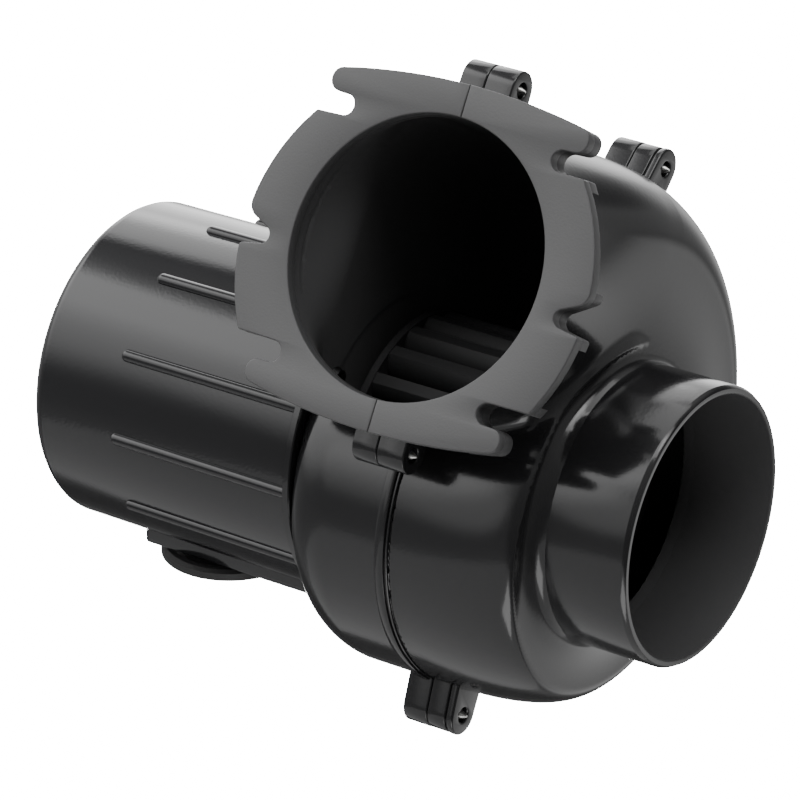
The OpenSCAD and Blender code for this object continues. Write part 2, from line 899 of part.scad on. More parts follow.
module rear_cover() {
  color("#1b1b1d")
    difference() {
      union() {
        from_mouth() {
          rotate_extrude($fn = 120)
            polygon(cover_outline(0));
          cylinder(r = cover_d / 2 + collar_rise, h = collar_t, $fn = 120);
          for (i = [0 : rib_places - 1])
            if (abs(i * rib_step - foot_a) > 40)
              rotate([0, 0, -i * rib_step])
                translate([cover_d / 2 - 0.4, 0, 0])
                  rib(rib_len);
          rail();
        }
      }
      from_mouth() {
        difference() {
          rotate_extrude($fn = 120)
            polygon(cover_outline(cover_wall));
          for (a = cover_screw_angles)
            rotate([0, 0, -a])
              translate([cover_screw_r, 0, 2 * eps])
                cylinder(d = cover_boss_d, h = cover_screw_len + small_screw_d, $fn = 32);
        }
        for (a = cover_screw_angles)
          rotate([0, 0, -a])
            translate([cover_screw_r, 0, -over])
              cylinder(d = small_screw_d + 2 * screw_gap, h = cover_screw_len + over, $fn = 32);
        translate([grommet_off, 0, cover_len - cover_wall - over])
          cylinder(r = grommet_r, h = cover_wall + 2 * over);
        rotate([0, 0, -foot_a])
          translate([rail_reach - 12, 0, foot_back])
            rotate([0, 90, 0])
              cylinder(d = screw_d + 2 * screw_gap, h = 12 + over, $fn = 32);
      }
    }
}

module cover_screws() {
  color("silver")
    on_shaft()
      for (a = cover_screw_angles)
        rotate(a)
          translate([cover_screw_r, 0, inside_back_x])
            mirror([0, 0, 1])
              screw(small_screw_d, cover_screw_len, small_head_d, small_head_h, 0);
}

// A rubber ring that the supply lead would pass, sitting in the hole in the closed end.
module cable_grommet() {
  lip_r = grommet_r + grommet_lip;
  bore_r = grommet_bore / 2;
  color("#101010")
    from_mouth()
      translate([grommet_off, 0, cover_len - cover_wall - grommet_lip])
        rotate_extrude()
          polygon([
            [bore_r, 0],
            [lip_r, 0],
            [lip_r, grommet_lip],
            [grommet_r, grommet_lip],
            [grommet_r, grommet_lip + cover_wall],
            [lip_r, grommet_lip + cover_wall],
            [lip_r - grommet_lip / 2, 2 * grommet_lip + cover_wall],
            [bore_r, 2 * grommet_lip + cover_wall]
          ]);
}

// The foot's axis, with local z running from the rail's face away from the shaft.
module on_foot() {
  from_mouth()
    rotate([0, 0, -foot_a])
      translate([rail_reach, 0, foot_back])
        rotate([0, 90, 0])
          children();
}

module mounting_foot() {
  r = foot_d / 2;
  color("#151515")
    on_foot()
      rotate_extrude($fn = 96)
        polygon([
          [screw_d / 2 + screw_gap, 0],
          [r * 0.62, 0],
          [r * 0.62, foot_h * 0.3],
          [r * 0.78, foot_h * 0.3],
          [r * 0.86, foot_h * 0.15],
          [r * 0.95, foot_h * 0.15],
          [r, foot_h * 0.4],
          [r, foot_h],
          [r * 0.8, foot_h],
          [r * 0.8, foot_h - foot_lip],
          [screw_head_d / 2 + fit_gap, foot_h - foot_lip],
          [screw_head_d / 2 + fit_gap, foot_h - small_head_h - foot_lip],
          [screw_d / 2 + screw_gap, foot_h - small_head_h - foot_lip]
        ]);
}

module foot_screw() {
  color("silver")
    on_foot()
      translate([0, 0, foot_h - small_head_h - foot_lip])
        mirror([0, 0, 1])
          screw(screw_d, 2 * screw_d, screw_head_d, small_head_h, 0);
}

// One forward-curved blade, a strip of an arc that ends at the wheel's rim.
module blade_2d() {
  arc_r = blade_depth * 1.1;
  mid_r = wheel_r - blade_depth;
  intersection() {
    translate([mid_r, -arc_r * 0.85])
      difference() {
        circle(r = arc_r, $fn = 48);
        circle(r = arc_r - blade_t, $fn = 48);
      }
    translate([mid_r - over, -arc_r])
      square([blade_depth + over, 2 * arc_r]);
    circle(r = wheel_r - 0.3, $fn = 96);
  }
}

module blower_wheel() {
  ring_d = wheel_d - 2 * blade_depth * 0.45;
  color("#232325")
    on_shaft()
      difference() {
        union() {
          translate([0, 0, wheel_x])
            cylinder(d = wheel_d, h = disc_t, $fn = 96);
          translate([0, 0, wheel_x + disc_t - eps])
            cylinder(d1 = boss_d + 2 * boss_cone, d2 = boss_d, h = boss_cone, $fn = 64);
          translate([0, 0, wheel_x])
            cylinder(d = boss_d, h = boss_len);
          translate([0, 0, ring_x])
            difference() {
              cylinder(d = wheel_d, h = ring_w, $fn = 96);
              translate([0, 0, -over])
                cylinder(d = ring_d, h = ring_w + 2 * over, $fn = 96);
            }
          translate([0, 0, wheel_x + disc_t - 0.2])
            linear_extrude(wheel_w - disc_t - ring_w + 0.4)
              for (i = [0 : blade_count - 1])
                rotate(i * 360 / blade_count)
                  blade_2d();
        }
        translate([0, 0, wheel_x - over])
          cylinder(d = hub_d, h = boss_len + 2 * over);
        translate([0, 0, wheel_x + boss_len / 2])
          rotate([0, 90, 0])
            cylinder(d = grub_d + 0.6, h = boss_d, $fn = 32);
      }
}

module wheel_hub() {
  color("goldenrod")
    on_shaft()
      difference() {
        translate([0, 0, wheel_x])
          cylinder(d = hub_d, h = boss_len);
        translate([0, 0, wheel_x - over])
          cylinder(d = shaft_d, h = boss_len + 2 * over);
        translate([0, 0, wheel_x + boss_len / 2])
          rotate([0, 90, 0])
            cylinder(d = grub_d, h = boss_d, $fn = 32);
      }
}

module hub_grub_screw() {
  length = boss_d / 2 - shaft_r - 1;
  color("dimgray")
    on_shaft()
      translate([shaft_r, 0, wheel_x + boss_len / 2])
        rotate([0, 90, 0])
          difference() {
            cylinder(d = grub_d, h = length, $fn = 32);
            translate([0, 0, length - 2])
              cylinder(d = grub_d / 2, h = 3, $fn = 6);
          }
}

module motor_shaft() {
  color("lightgray")
    on_shaft() {
      translate([0, 0, shaft_back_x])
        cylinder(d = shaft_d, h = shaft_front_x - shaft_back_x - shaft_chamfer);
      translate([0, 0, shaft_front_x - shaft_chamfer - eps])
        cylinder(d1 = shaft_d, d2 = shaft_d - shaft_chamfer, h = shaft_chamfer + eps);
    }
}

module shaft_ring(x, outer_d, length) {
  translate([0, 0, x])
    difference() {
      cylinder(d = outer_d, h = length);
      translate([0, 0, -over])
        cylinder(d = shaft_d, h = length + 2 * over);
    }
}

module thrust_washers() {
  color("ivory")
    on_shaft() {
      shaft_ring(plate_x - fit_gap - washer_t, washer_d, washer_t);
      shaft_ring(rear_washer_x, washer_d, washer_t);
    }
}

module armature_core() {
  color("slategray")
    on_shaft()
      translate([0, 0, core_x])
        difference() {
          cylinder(r = core_r, h = core_len, $fn = 96);
          translate([0, 0, -over])
            cylinder(d = shaft_d, h = core_len + 2 * over);
          for (i = [0 : core_slots - 1])
            rotate(i * 360 / core_slots) {
              translate([slot_floor + slot_r, -over, -over])
                cube([core_r, 2 * over, core_len + 2 * over]);
              translate([slot_floor + slot_r, 0, -over])
                cylinder(r = slot_r, h = core_len + 2 * over, $fn = 24);
            }
        }
}

module armature_windings() {
  color("peru")
    on_shaft() {
      for (x = [core_x - end_turns, core_x + core_len])
        translate([0, 0, x])
          difference() {
            cylinder(r = slot_floor + 2 * slot_r, h = end_turns);
            translate([0, 0, -over])
              cylinder(d = washer_d + 1, h = end_turns + 2 * over);
          }
      for (i = [0 : core_slots - 1])
        rotate(i * 360 / core_slots)
          translate([slot_floor + slot_r, 0, core_x - eps])
            cylinder(r = winding_r, h = core_len + 2 * eps, $fn = 24);
    }
}

module commutator() {
  color("chocolate")
    on_shaft()
      translate([0, 0, comm_x])
        difference() {
          union() {
            cylinder(d = comm_d, h = comm_len);
            translate([0, 0, comm_len - riser_len])
              cylinder(d = comm_d + 2 * riser_len, h = riser_len);
          }
          translate([0, 0, -over])
            cylinder(d = shaft_d, h = comm_len + 2 * over);
          for (i = [0 : core_slots - 1])
            rotate((i + 0.5) * 360 / core_slots)
              translate([comm_d / 2 - 0.8, -0.25, -over])
                cube([4, 0.5, comm_len + 2 * over]);
        }
}

module motor_can() {
  color("gray")
    on_shaft()
      difference() {
        translate([0, 0, can_x])
          cylinder(r = can_r, h = can_len, $fn = 96);
        translate([0, 0, can_x + can_wall])
          cylinder(r = can_r - can_wall, h = can_len, $fn = 96);
        translate([0, 0, can_x - over])
          cylinder(d = shaft_d + 1, h = can_wall + 2 * over);
        for (s = [-1, 1])
          translate([0, s * tab_off, can_x])
            tab_slot(can_wall);
      }
}

// The slot that a terminal tab passes, through a plate of the given thickness.
module tab_slot(thickness) {
  translate([-tab_slot_w / 4, -tab_slot_w / 2, -over])
    cube([tab_slot_w / 2, tab_slot_w, thickness + 2 * over]);
}

module motor_front_plate() {
  color("darkgray")
    on_shaft()
      difference() {
        union() {
          translate([0, 0, plate_x])
            cylinder(r = can_r, h = plate_t, $fn = 96);
          translate([0, 0, plate_x - plate_rim])
            cylinder(r = can_r - can_wall, h = plate_rim + eps, $fn = 96);
          translate([0, 0, back_x - eps])
            cylinder(r = nose_r, h = nose_len);
        }
        translate([0, 0, plate_x - plate_rim - over])
          cylinder(r = can_r - can_wall - plate_rim, h = plate_rim + over, $fn = 96);
        translate([0, 0, back_x + nose_len - bush_len])
          cylinder(d = bush_d, h = bush_len + over);
        translate([0, 0, plate_x - over])
          cylinder(d = shaft_d + 2, h = plate_t + nose_len);
        for (a = motor_screw_angles)
          rotate(a)
            translate([motor_screw_r, 0, plate_x - over])
              cylinder(d = small_screw_d + 2 * screw_gap, h = plate_t + 2 * over, $fn = 32);
      }
}

module motor_screws() {
  color("silver")
    on_shaft()
      for (a = motor_screw_angles)
        rotate(a)
          translate([motor_screw_r, 0, inside_back_x])
            mirror([0, 0, 1])
              screw(small_screw_d, wall + plate_t + 1, small_head_d, small_head_h, 0);
}

module field_magnets() {
  outer = can_r - can_wall;
  color("#3a3a3a")
    on_shaft()
      translate([0, 0, core_x + core_len / 2 - magnet_len / 2])
        for (a = [0, 180])
          rotate(a)
            intersection() {
              difference() {
                cylinder(r = outer, h = magnet_len, $fn = 96);
                translate([0, 0, -over])
                  cylinder(r = outer - magnet_t, h = magnet_len + 2 * over, $fn = 96);
              }
              linear_extrude(magnet_len)
                polygon([[0, 0], [outer * 2, -outer * 2.6], [outer * 2, outer * 2.6]]);
            }
}

module bush(x) {
  translate([0, 0, x])
    difference() {
      cylinder(d = bush_d, h = bush_len);
      translate([0, 0, -over])
        cylinder(r = shaft_r + bush_gap, h = bush_len + 2 * over);
    }
}

module front_bush() {
  color("darkgoldenrod")
    on_shaft()
      bush(back_x + nose_len - bush_len);
}

module rear_bush() {
  color("darkgoldenrod")
    on_shaft()
      bush(can_x + can_wall);
}

// The insulating card that carries the brush holders, held against the can's inside.
module brush_card() {
  color("saddlebrown")
    on_shaft()
      translate([0, 0, card_x])
        difference() {
          cylinder(r = can_r - can_wall, h = card_t, $fn = 96);
          translate([0, 0, -over])
            cylinder(d = comm_d + 4, h = card_t + 2 * over);
          for (s = [-1, 1])
            translate([0, s * tab_off, 0])
              tab_slot(card_t);
        }
}

// Places a brush's parts at each side of the commutator, with local x pointing away from it.
module each_brush() {
  for (a = [0, 180])
    on_shaft()
      translate([0, 0, card_x + card_t])
        rotate(a)
          translate([comm_d / 2 + 0.05, 0, 0])
            children();
}

module brush_holders() {
  color("goldenrod")
    each_brush()
      translate([holder_start, 0, 0])
        difference() {
          translate([0, -brush_w / 2 - holder_wall, 0])
            cube([holder_len, brush_w + 2 * holder_wall, brush_w + holder_wall]);
          translate([-over, -brush_w / 2, -eps])
            cube([holder_len + over - holder_wall, brush_w, brush_w + eps]);
        }
}

module brushes() {
  color("#202020")
    each_brush()
      translate([0, -brush_w / 2 + 0.1, 0.1])
        cube([brush_len, brush_w - 0.2, brush_w - 0.2]);
}

// A helical coil of five-sided wire along +x.
module coil(r, wire, turns, length) {
  n = 10 * turns;
  points = [for (i = [0 : n]) for (j = [0 : 4])
    let (
      a = 36 * i,
      reach = r + wire / 2 * cos(72 * j),
      x = wire / 2 + (length - wire) * i / n + wire / 2 * sin(72 * j)
    )
    [x, reach * cos(a), reach * sin(a)]];
  sides = [for (i = [0 : n - 1]) for (j = [0 : 4])
    let (k = (j + 1) % 5)
    each [
      [5 * i + j, 5 * i + 5 + k, 5 * i + k],
      [5 * i + j, 5 * i + 5 + j, 5 * i + 5 + k]
    ]];
  ends = [[0, 1, 2, 3, 4], [for (j = [4 : -1 : 0]) 5 * n + j]];
  polyhedron(points, concat(sides, ends));
}

module brush_springs() {
  length = holder_start + holder_len - holder_wall - brush_len;
  color("silver")
    each_brush()
      translate([brush_len + eps, 0, brush_w / 2])
        coil(brush_w / 2 - 2 * spring_wire, spring_wire, spring_turns, length - 2 * eps);
}

// The two spade tabs that carry the supply through the can's end to the brush card.
module terminal_tabs() {
  color("gold")
    on_shaft()
      for (s = [-1, 1])
        translate([-tab_t / 2, s * tab_off - tab_w / 2, can_x - tab_len])
          cube([tab_t, tab_w, card_x + card_t - can_x + tab_len]);
}

housing_front();
housing_rear();
housing_screws();
rear_cover();
cover_screws();
cable_grommet();
mounting_foot();
foot_screw();
blower_wheel();
wheel_hub();
hub_grub_screw();
motor_shaft();
thrust_washers();
armature_core();
armature_windings();
commutator();
motor_can();
motor_front_plate();
motor_screws();
field_magnets();
front_bush();
rear_bush();
brush_card();
brush_holders();
brushes();
brush_springs();
terminal_tabs();
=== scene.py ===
import math

import bmesh
import bpy
import numpy as np
from mathutils import Matrix, Vector


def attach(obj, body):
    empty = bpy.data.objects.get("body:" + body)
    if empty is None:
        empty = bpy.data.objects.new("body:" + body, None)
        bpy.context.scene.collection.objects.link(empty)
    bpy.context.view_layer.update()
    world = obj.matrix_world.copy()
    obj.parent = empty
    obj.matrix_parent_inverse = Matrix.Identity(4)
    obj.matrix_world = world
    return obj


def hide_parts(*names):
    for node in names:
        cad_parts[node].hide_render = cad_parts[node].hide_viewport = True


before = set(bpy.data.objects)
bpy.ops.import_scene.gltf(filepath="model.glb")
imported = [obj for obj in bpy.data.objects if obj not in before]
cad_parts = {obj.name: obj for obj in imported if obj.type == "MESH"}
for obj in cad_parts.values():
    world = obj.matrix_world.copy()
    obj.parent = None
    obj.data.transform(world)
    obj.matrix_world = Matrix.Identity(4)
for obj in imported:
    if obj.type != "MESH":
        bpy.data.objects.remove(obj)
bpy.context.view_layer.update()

MM = 0.001

# The frame's places, in millimetres. X runs along the shaft and the outlet bore's centre is the origin.
SHAFT_Y, SHAFT_Z = 68.6, -45.3
SEAM = 1.4
SEAM_PLAY = 0.06
BACK_X = -32.9
OUTLET_R = 37.3
FLANGE_T = 3.4
PORT_R, PORT_WALL = 38.0, 2.3

# How finely the meshes are made, and the angles under which edges are shaded smooth.
LATHE_STEPS, BEVEL_STEPS, WELD = 160, 2, 1e-4
SMOOTH_ANGLE, CARRIED_ANGLE = 35.0, 30.0


# Mesh making.


def put_in_scene(obj):
    bpy.context.scene.collection.objects.link(obj)


def new_object(name, verts, faces, material):
    mesh = bpy.data.meshes.new(name)
    mesh.from_pydata([tuple(v) for v in verts], [], [tuple(f) for f in faces])
    mesh.validate()
    mesh.materials.append(material)
    mesh.shade_smooth()
    mesh.set_sharp_from_angle(angle=math.radians(SMOOTH_ANGLE))
    obj = bpy.data.objects.new(name, mesh)
    put_in_scene(obj)
    return obj


def outward(verts, faces):
    """The faces of a closed form, turned round where they would point into it."""
    fans = np.array([(f[0], f[i], f[i + 1]) for f in faces for i in range(1, len(f) - 1)])
    a, b, c = (verts[fans[:, i]] for i in range(3))
    volume = (a * np.cross(b, c)).sum()
    return faces if volume > 0 else [list(f)[::-1] for f in faces]


def join(name, parts, material):
    """One object from several lists of (verts, faces), each closed by itself."""
    verts, faces, base = [], [], 0
    for v, f in parts:
        verts.append(np.asarray(v, float))
        faces += [[i + base for i in face] for face in outward(verts[-1], f)]
        base += len(v)
    return new_object(name, np.vstack(verts) * MM, faces, material)


def lathe(profile):
    """Turns a closed loop of (radius, x) points round the shaft's axis. Returns verts and faces."""
    verts, faces = [], []
    n = len(profile)
    for i in range(LATHE_STEPS):
        t = 2 * math.pi * i / LATHE_STEPS
        for r, x in profile:
            verts.append((x, SHAFT_Y + r * math.cos(t), SHAFT_Z + r * math.sin(t)))
    for i in range(LATHE_STEPS):
        k = (i + 1) % LATHE_STEPS
        for j in range(n):
            m = (j + 1) % n
            faces.append((i * n + j, i * n + m, k * n + m, k * n + j))
    return verts, faces


def rounded(points, arc_steps=6):
    """The polygon of (x, y, radius) corners with each corner rounded by its radius."""
    out = []
    n = len(points)
    for i in range(n):
        x, y, r = points[i]
        if r <= 0:
            out.append((x, y))
            continue
        p = Vector((x, y))
        a = Vector(points[i - 1][:2]) - p
        b = Vector(points[(i + 1) % n][:2]) - p
        half = a.angle(b) / 2
        reach = r / math.tan(half)
        a.normalize()
        b.normalize()
        centre = p + (a + b).normalized() * (r / math.sin(half))
        start = p + a * reach - centre
        end = p + b * reach - centre
        turn = start.angle_signed(end)
        for k in range(arc_steps + 1):
            t = -turn * k / arc_steps
            c, s = math.cos(t), math.sin(t)
            out.append((centre.x + start.x * c - start.y * s, centre.y + start.x * s + start.y * c))
    return out


def arc(cx, cy, r, a0, a1, steps=16):
    span = [a0 + (a1 - a0) * i / steps for i in range(steps + 1)]
    return [(cx + r * math.cos(math.radians(a)), cy + r * math.sin(math.radians(a))) for a in span]


def corners(points):
    """The (x, y) points as corners that aren't rounded."""
    return [(x, y, 0) for x, y in points]


def outline_curve(loops, thickness, bevel):
    curve = bpy.data.curves.new("outline", "CURVE")
    curve.dimensions = "2D"
    curve.fill_mode = "BOTH"
    curve.extrude = thickness / 2 - bevel
    curve.bevel_depth = bevel
    curve.bevel_resolution = BEVEL_STEPS
    curve.offset = -bevel
    for loop in loops:
        spline = curve.splines.new("POLY")
        spline.points.add(len(loop) - 1)
        spline.use_cyclic_u = True
        for point, (x, y) in zip(spline.points, loop):
            point.co = (x, y, 0, 1)
    return curve


def plate(loops, thickness, bevel, place):
    """A flat plate from closed 2D loops, its edges rounded by bevel, laid out by place(x, y, z)."""
    curve = outline_curve(loops, thickness, bevel)
    holder = bpy.data.objects.new("outline", curve)
    put_in_scene(holder)
    bpy.context.view_layer.update()
    mesh = bpy.data.meshes.new_from_object(holder)
    bpy.data.objects.remove(holder)
    bpy.data.curves.remove(curve)
    work = bmesh.new()
    work.from_mesh(mesh)
    bmesh.ops.remove_doubles(work, verts=work.verts, dist=WELD)
    verts = [place(v.co.x, v.co.y, v.co.z) for v in work.verts]
    work.verts.index_update()
    faces = [[v.index for v in f.verts] for f in work.faces]
    work.free()
    bpy.data.meshes.remove(mesh)
    return verts, faces


# The housing's moulded form, as a field that is zero on the surface. Lengths are in millimetres.

WALL = 2.5
# The scroll's radius is TONGUE_R at TONGUE_A degrees and grows by GROWTH a turn up to the top at TOP_A.
TONGUE_A, TOP_A = 176.0, 450.0
TONGUE_R, GROWTH = 44.4, 55.3
EASE, EASE_PAST = 6, 2
TOP_EDGE = TOP_A - 0.01
# Each half by its side of the seam, its depth, and the shoulder that rounds over into its face.
FRONT = dict(side=1, depth=35.7, shoulder=30.6, share=0.4, dish=3.2, power=2.1)
REAR = dict(side=-1, depth=34.3, shoulder=13.0, share=0.5, dish=0.0, power=2.0)
# The duct is a box from DUCT_FLOOR up. From BOX_Y towards the flange it turns round over BOX_RUN. The
# rear half does so from REAR_BOX_Y, except near the seam, where it meets the front half.
DUCT_FLOOR, DUCT_TOP_REACH, BOX_FILLET = 5.6, 200, 3.0
BOX_Y, BOX_RUN = 62, 58
REAR_BOX_Y, REAR_BOX_RUN, SEAM_BLEND = 21.5, 17, 12
# Where the duct leaves the scroll, its edge is softened over TONGUE_REACH.
TONGUE_FILLET, TONGUE_INNER_FILLET, TONGUE_REACH = 4.0, 1.0, 18
# The spigot's outer wall and bore start inside the shell, and the flange covers the shell's edge.
SPIGOT_FROM, SPIGOT_TO, SPIGOT_BORE_FROM = 30, 60, 24
SLIM_FROM, SLIM_RUN, SLIM = 40, 3, 0.2
MOUTH_PLAY, DUCT_PLAY, MOUTH_TO = 0.3, 0.5, 8
SHELL_FROM_Y = 1.2
FILLET = 1.8
GROOVE = 0.25
# The space that the shells' meshes are made in.
SHELL_LOW_X, SHELL_HIGH_X = -41.0, 60.0
SHELL_LOW_YZ, SHELL_HIGH_YZ = (SHELL_FROM_Y, -105.0), (142.0, 43.0)
CELL = 0.9


def smooth_step(t):
    t = np.clip(t, 0, 1)
    return t * t * (3 - 2 * t)


def smooth_min(a, b, k):
    k = np.maximum(k, 1e-3)
    h = np.maximum(k - np.abs(a - b), 0) / k
    return np.minimum(a, b) - h * h * k / 4


def spiral_r(angle):
    """Outer radius at an angle in degrees from 0 to 360, easing into the straight top of the duct."""
    turned = np.where(angle < TONGUE_A, angle + 360, angle)
    eased = -EASE * np.log(np.exp(-turned / EASE) + math.exp(-(TOP_A + EASE_PAST) / EASE))
    grown = TONGUE_R + GROWTH * (eased - TONGUE_A) / 360
    return np.where(turned > TOP_A, TONGUE_R, grown)


def spiral_at(angle):
    """The same radius for one angle, which may also be that of the top."""
    return float(spiral_r(np.array(min(angle, TOP_EDGE) % 360)))


def shoulder_field(gap, w, width, form, skin, lift):
    """Distance to a wall that rounds over into a face. gap runs in from the wall, w out from the seam."""
    n = form["power"]
    base = form["depth"] - form["shoulder"]
    rise = form["shoulder"] - skin + lift
    p = np.maximum(1 - gap / width, 0)
    q = np.maximum((w - base) / rise, 0)
    s = (p**n + q**n) ** (1 / n) + 1e-6
    slope = np.hypot((p / s) ** (n - 1) / width, (q / s) ** (n - 1) / rise) + 1e-4
    return (s - 1) / slope


def section_field(outer, gap, rho, w, form, skin):
    """The shoulder, with the face dished round the spigot. outer is the wall's radius there."""
    width = form["share"] * np.maximum(outer - PORT_R, 1.5)
    inner = outer - width
    s = np.clip((inner - rho) / np.maximum(inner - PORT_R, 1.0), 0, 1)
    return shoulder_field(gap - skin, w, width, form, skin, form["dish"] * s * s)


def roundness(x, y, form):
    """How round the duct is: 0 where it is a box and 1 at the flange."""
    t = smooth_step((BOX_Y - y) / BOX_RUN)
    if form["side"] < 0:
        late = smooth_step((REAR_BOX_Y - y) / REAR_BOX_RUN)
        t = late + (t - late) * smooth_step((x - SEAM + SEAM_BLEND) / SEAM_BLEND)
    return t


def body_field(x, y, z, form, skin):
    """The scroll and its duct, made smaller by skin on every side."""
    u, v = y - SHAFT_Y, z - SHAFT_Z
    w = form["side"] * (x - SEAM)
    rho = np.hypot(u, v)
    angle = np.degrees(np.arctan2(v, u)) % 360
    r = spiral_r(angle)
    top = spiral_at(TOP_A)
    scroll = section_field(r, r - rho, rho, w, form, skin)
    flat = section_field(top, np.minimum(top - v, DUCT_TOP_REACH), rho, w, form, skin)
    floor = DUCT_FLOOR + skin - v
    box = -smooth_min(-flat, -floor, BOX_FILLET)
    ring = np.hypot(x, z) - (OUTLET_R + (DUCT_PLAY if skin else WALL))
    t = roundness(x, y, form)
    duct = box * (1 - t) + ring * t
    under = (angle > 90) & (angle < 270)
    k = (TONGUE_INNER_FILLET if skin else TONGUE_FILLET) * smooth_step(-u / TONGUE_REACH)
    return np.where(under, smooth_min(scroll, duct, k), scroll)


def spigot_slim(x):
    """How much slimmer the shell is along the spigot, where a turned wall covers it."""
    return SLIM * smooth_step((x - SLIM_FROM) / SLIM_RUN)


def cavity_field(x, y, z, form):
    """Distance to the walls' inner face."""
    inner = body_field(x, y, z, form, WALL)
    if form["side"] > 0:
        rho = np.hypot(y - SHAFT_Y, z - SHAFT_Z)
        bore = np.maximum(rho - PORT_R + PORT_WALL - spigot_slim(x), SPIGOT_BORE_FROM - x)
        inner = np.minimum(inner, bore)
    return np.minimum(inner, np.maximum(np.hypot(x, z) - OUTLET_R - MOUTH_PLAY, y - MOUTH_TO))


def shell_field(x, y, z, form):
    """Distance to one half's shell, with a shallow groove along the seam."""
    outer = body_field(x, y, z, form, 0.0)
    if form["side"] > 0:
        rho = np.hypot(y - SHAFT_Y, z - SHAFT_Z)
        tube = np.maximum(rho - PORT_R + spigot_slim(x), SPIGOT_FROM - x)
        outer = smooth_min(outer, np.maximum(tube, x - SPIGOT_TO), FILLET)
    past_seam = form["side"] * (x - SEAM)
    outer = outer + GROOVE * np.clip(1 - past_seam / GROOVE, 0, 1)
    solid = np.maximum(outer, -cavity_field(x, y, z, form))
    solid = np.maximum(solid, -past_seam)
    return np.maximum(solid, SHELL_FROM_Y - y)


# A mesh of the field's zero surface: one vertex in each cell that the surface passes through.

CELL_CORNERS = [(i, j, k) for i in (0, 1) for j in (0, 1) for k in (0, 1)]
SLOPE_STEP = 0.02
SETTLE_ROUNDS, SETTLE_STEP, SETTLE_REACH = 4, 0.5, 0.6


def sampled(field, axes):
    grid = np.empty([len(a) for a in axes], np.float32)
    yy, zz = np.meshgrid(axes[1], axes[2], indexing="ij")
    for i, x in enumerate(axes[0]):
        grid[i] = field(np.full_like(yy, x), yy, zz)
    return grid


def crossed_cells(inside):
    """The cells that the surface passes through, and a grid of their numbers."""
    nx, ny, nz = (n - 1 for n in inside.shape)
    count = sum(inside[i : nx + i, j : ny + j, k : nz + k].astype(np.int8) for i, j, k in CELL_CORNERS)
    mixed = (count > 0) & (count < len(CELL_CORNERS))
    cells = np.argwhere(mixed)
    index = np.full(mixed.shape, -1, np.int64)
    index[mixed] = np.arange(len(cells))
    return cells, index


def net_verts(grid, cells, axes, cell):
    """Each cell's vertex, at the mean of the places where the surface cuts the cell's edges."""
    total = np.zeros((len(cells), 3))
    hits = np.zeros(len(cells))
    for a in CELL_CORNERS:
        for d in range(3):
            if a[d]:
                continue
            b = tuple(a[i] + (i == d) for i in range(3))
            fa = grid[tuple((cells + a).T)]
            fb = grid[tuple((cells + b).T)]
            cross = (fa < 0) != (fb < 0)
            t = np.where(cross, fa / np.where(cross, fa - fb, 1), 0)
            point = np.array(a)[None] + np.eye(3)[d][None] * t[:, None]
            total += point * cross[:, None]
            hits += cross
    verts = cells + total / hits[:, None]
    return np.stack([axes[d][0] + verts[:, d] * cell for d in range(3)], 1)


def net_quads(inside, index):
    """A quad across each grid edge whose ends lie on different sides of the surface."""
    quads = []
    for d in range(3):
        e1, e2 = [i for i in range(3) if i != d]
        span = [slice(None)] * 3
        ahead = [slice(None)] * 3
        span[d], ahead[d] = slice(0, -1), slice(1, None)
        a, b = inside[tuple(span)], inside[tuple(ahead)]
        where = np.argwhere(a != b)
        ok = (where[:, e1] > 0) & (where[:, e2] > 0)
        ok &= (where[:, e1] < inside.shape[e1] - 1) & (where[:, e2] < inside.shape[e2] - 1)
        where = where[ok]
        ring = []
        for s1, s2 in ((0, 0), (1, 0), (1, 1), (0, 1)):
            at = where.copy()
            at[:, e1] -= s1
            at[:, e2] -= s2
            ring.append(index[tuple(at.T)])
        quad = np.stack(ring, 1)
        flip = a[tuple(where.T)]
        if d == 1:
            flip = ~flip
        quad[flip] = quad[flip][:, ::-1]
        quads.append(quad)
    return np.vstack(quads)


def gradient(field, points):
    steps = np.eye(3) * SLOPE_STEP
    rises = [field(*(points + e).T) - field(*(points - e).T) for e in steps]
    return np.stack([rise / (2 * SLOPE_STEP) for rise in rises], 1)


def settled(field, verts, cell):
    """The vertices moved onto the surface, each by less than a cell."""
    start = verts.copy()
    for _ in range(SETTLE_ROUNDS):
        slope = gradient(field, verts)
        step = field(*verts.T) / np.maximum((slope**2).sum(1), 0.05)
        moved = verts - np.clip(step, -SETTLE_STEP * cell, SETTLE_STEP * cell)[:, None] * slope
        verts = start + np.clip(moved - start, -SETTLE_REACH * cell, SETTLE_REACH * cell)
    return verts


def surface_net(field, low, high, cell):
    """The field's zero surface as verts and quads."""
    axes = [np.arange(a - cell, b + 2 * cell, cell) for a, b in zip(low, high)]
    grid = sampled(field, axes)
    inside = grid < 0
    cells, index = crossed_cells(inside)
    verts = net_verts(grid, cells, axes, cell)
    return settled(field, verts, cell), net_quads(inside, index)


def shell(form):
    span = (SEAM, SHELL_HIGH_X) if form["side"] > 0 else (SHELL_LOW_X, SEAM)
    low = (span[0], *SHELL_LOW_YZ)
    high = (span[1], *SHELL_HIGH_YZ)
    return surface_net(lambda x, y, z: shell_field(x, y, z, form), low, high, CELL)


# The field's own shading, and inside a duller finish with a lighter colour as painted light. A corner of a
# face keeps the mesh's shading where the field's slope turns too far away from the face.

CREASE_COS = 0.82
INSIDE_REACH = 0.3


def read_all(items, name, width=1, kind=np.float32):
    """One property of every corner or face as an array, one row each."""
    out = np.empty(len(items) * width, kind)
    items.foreach_get(name, out)
    return out.reshape(-1, width) if width > 1 else out


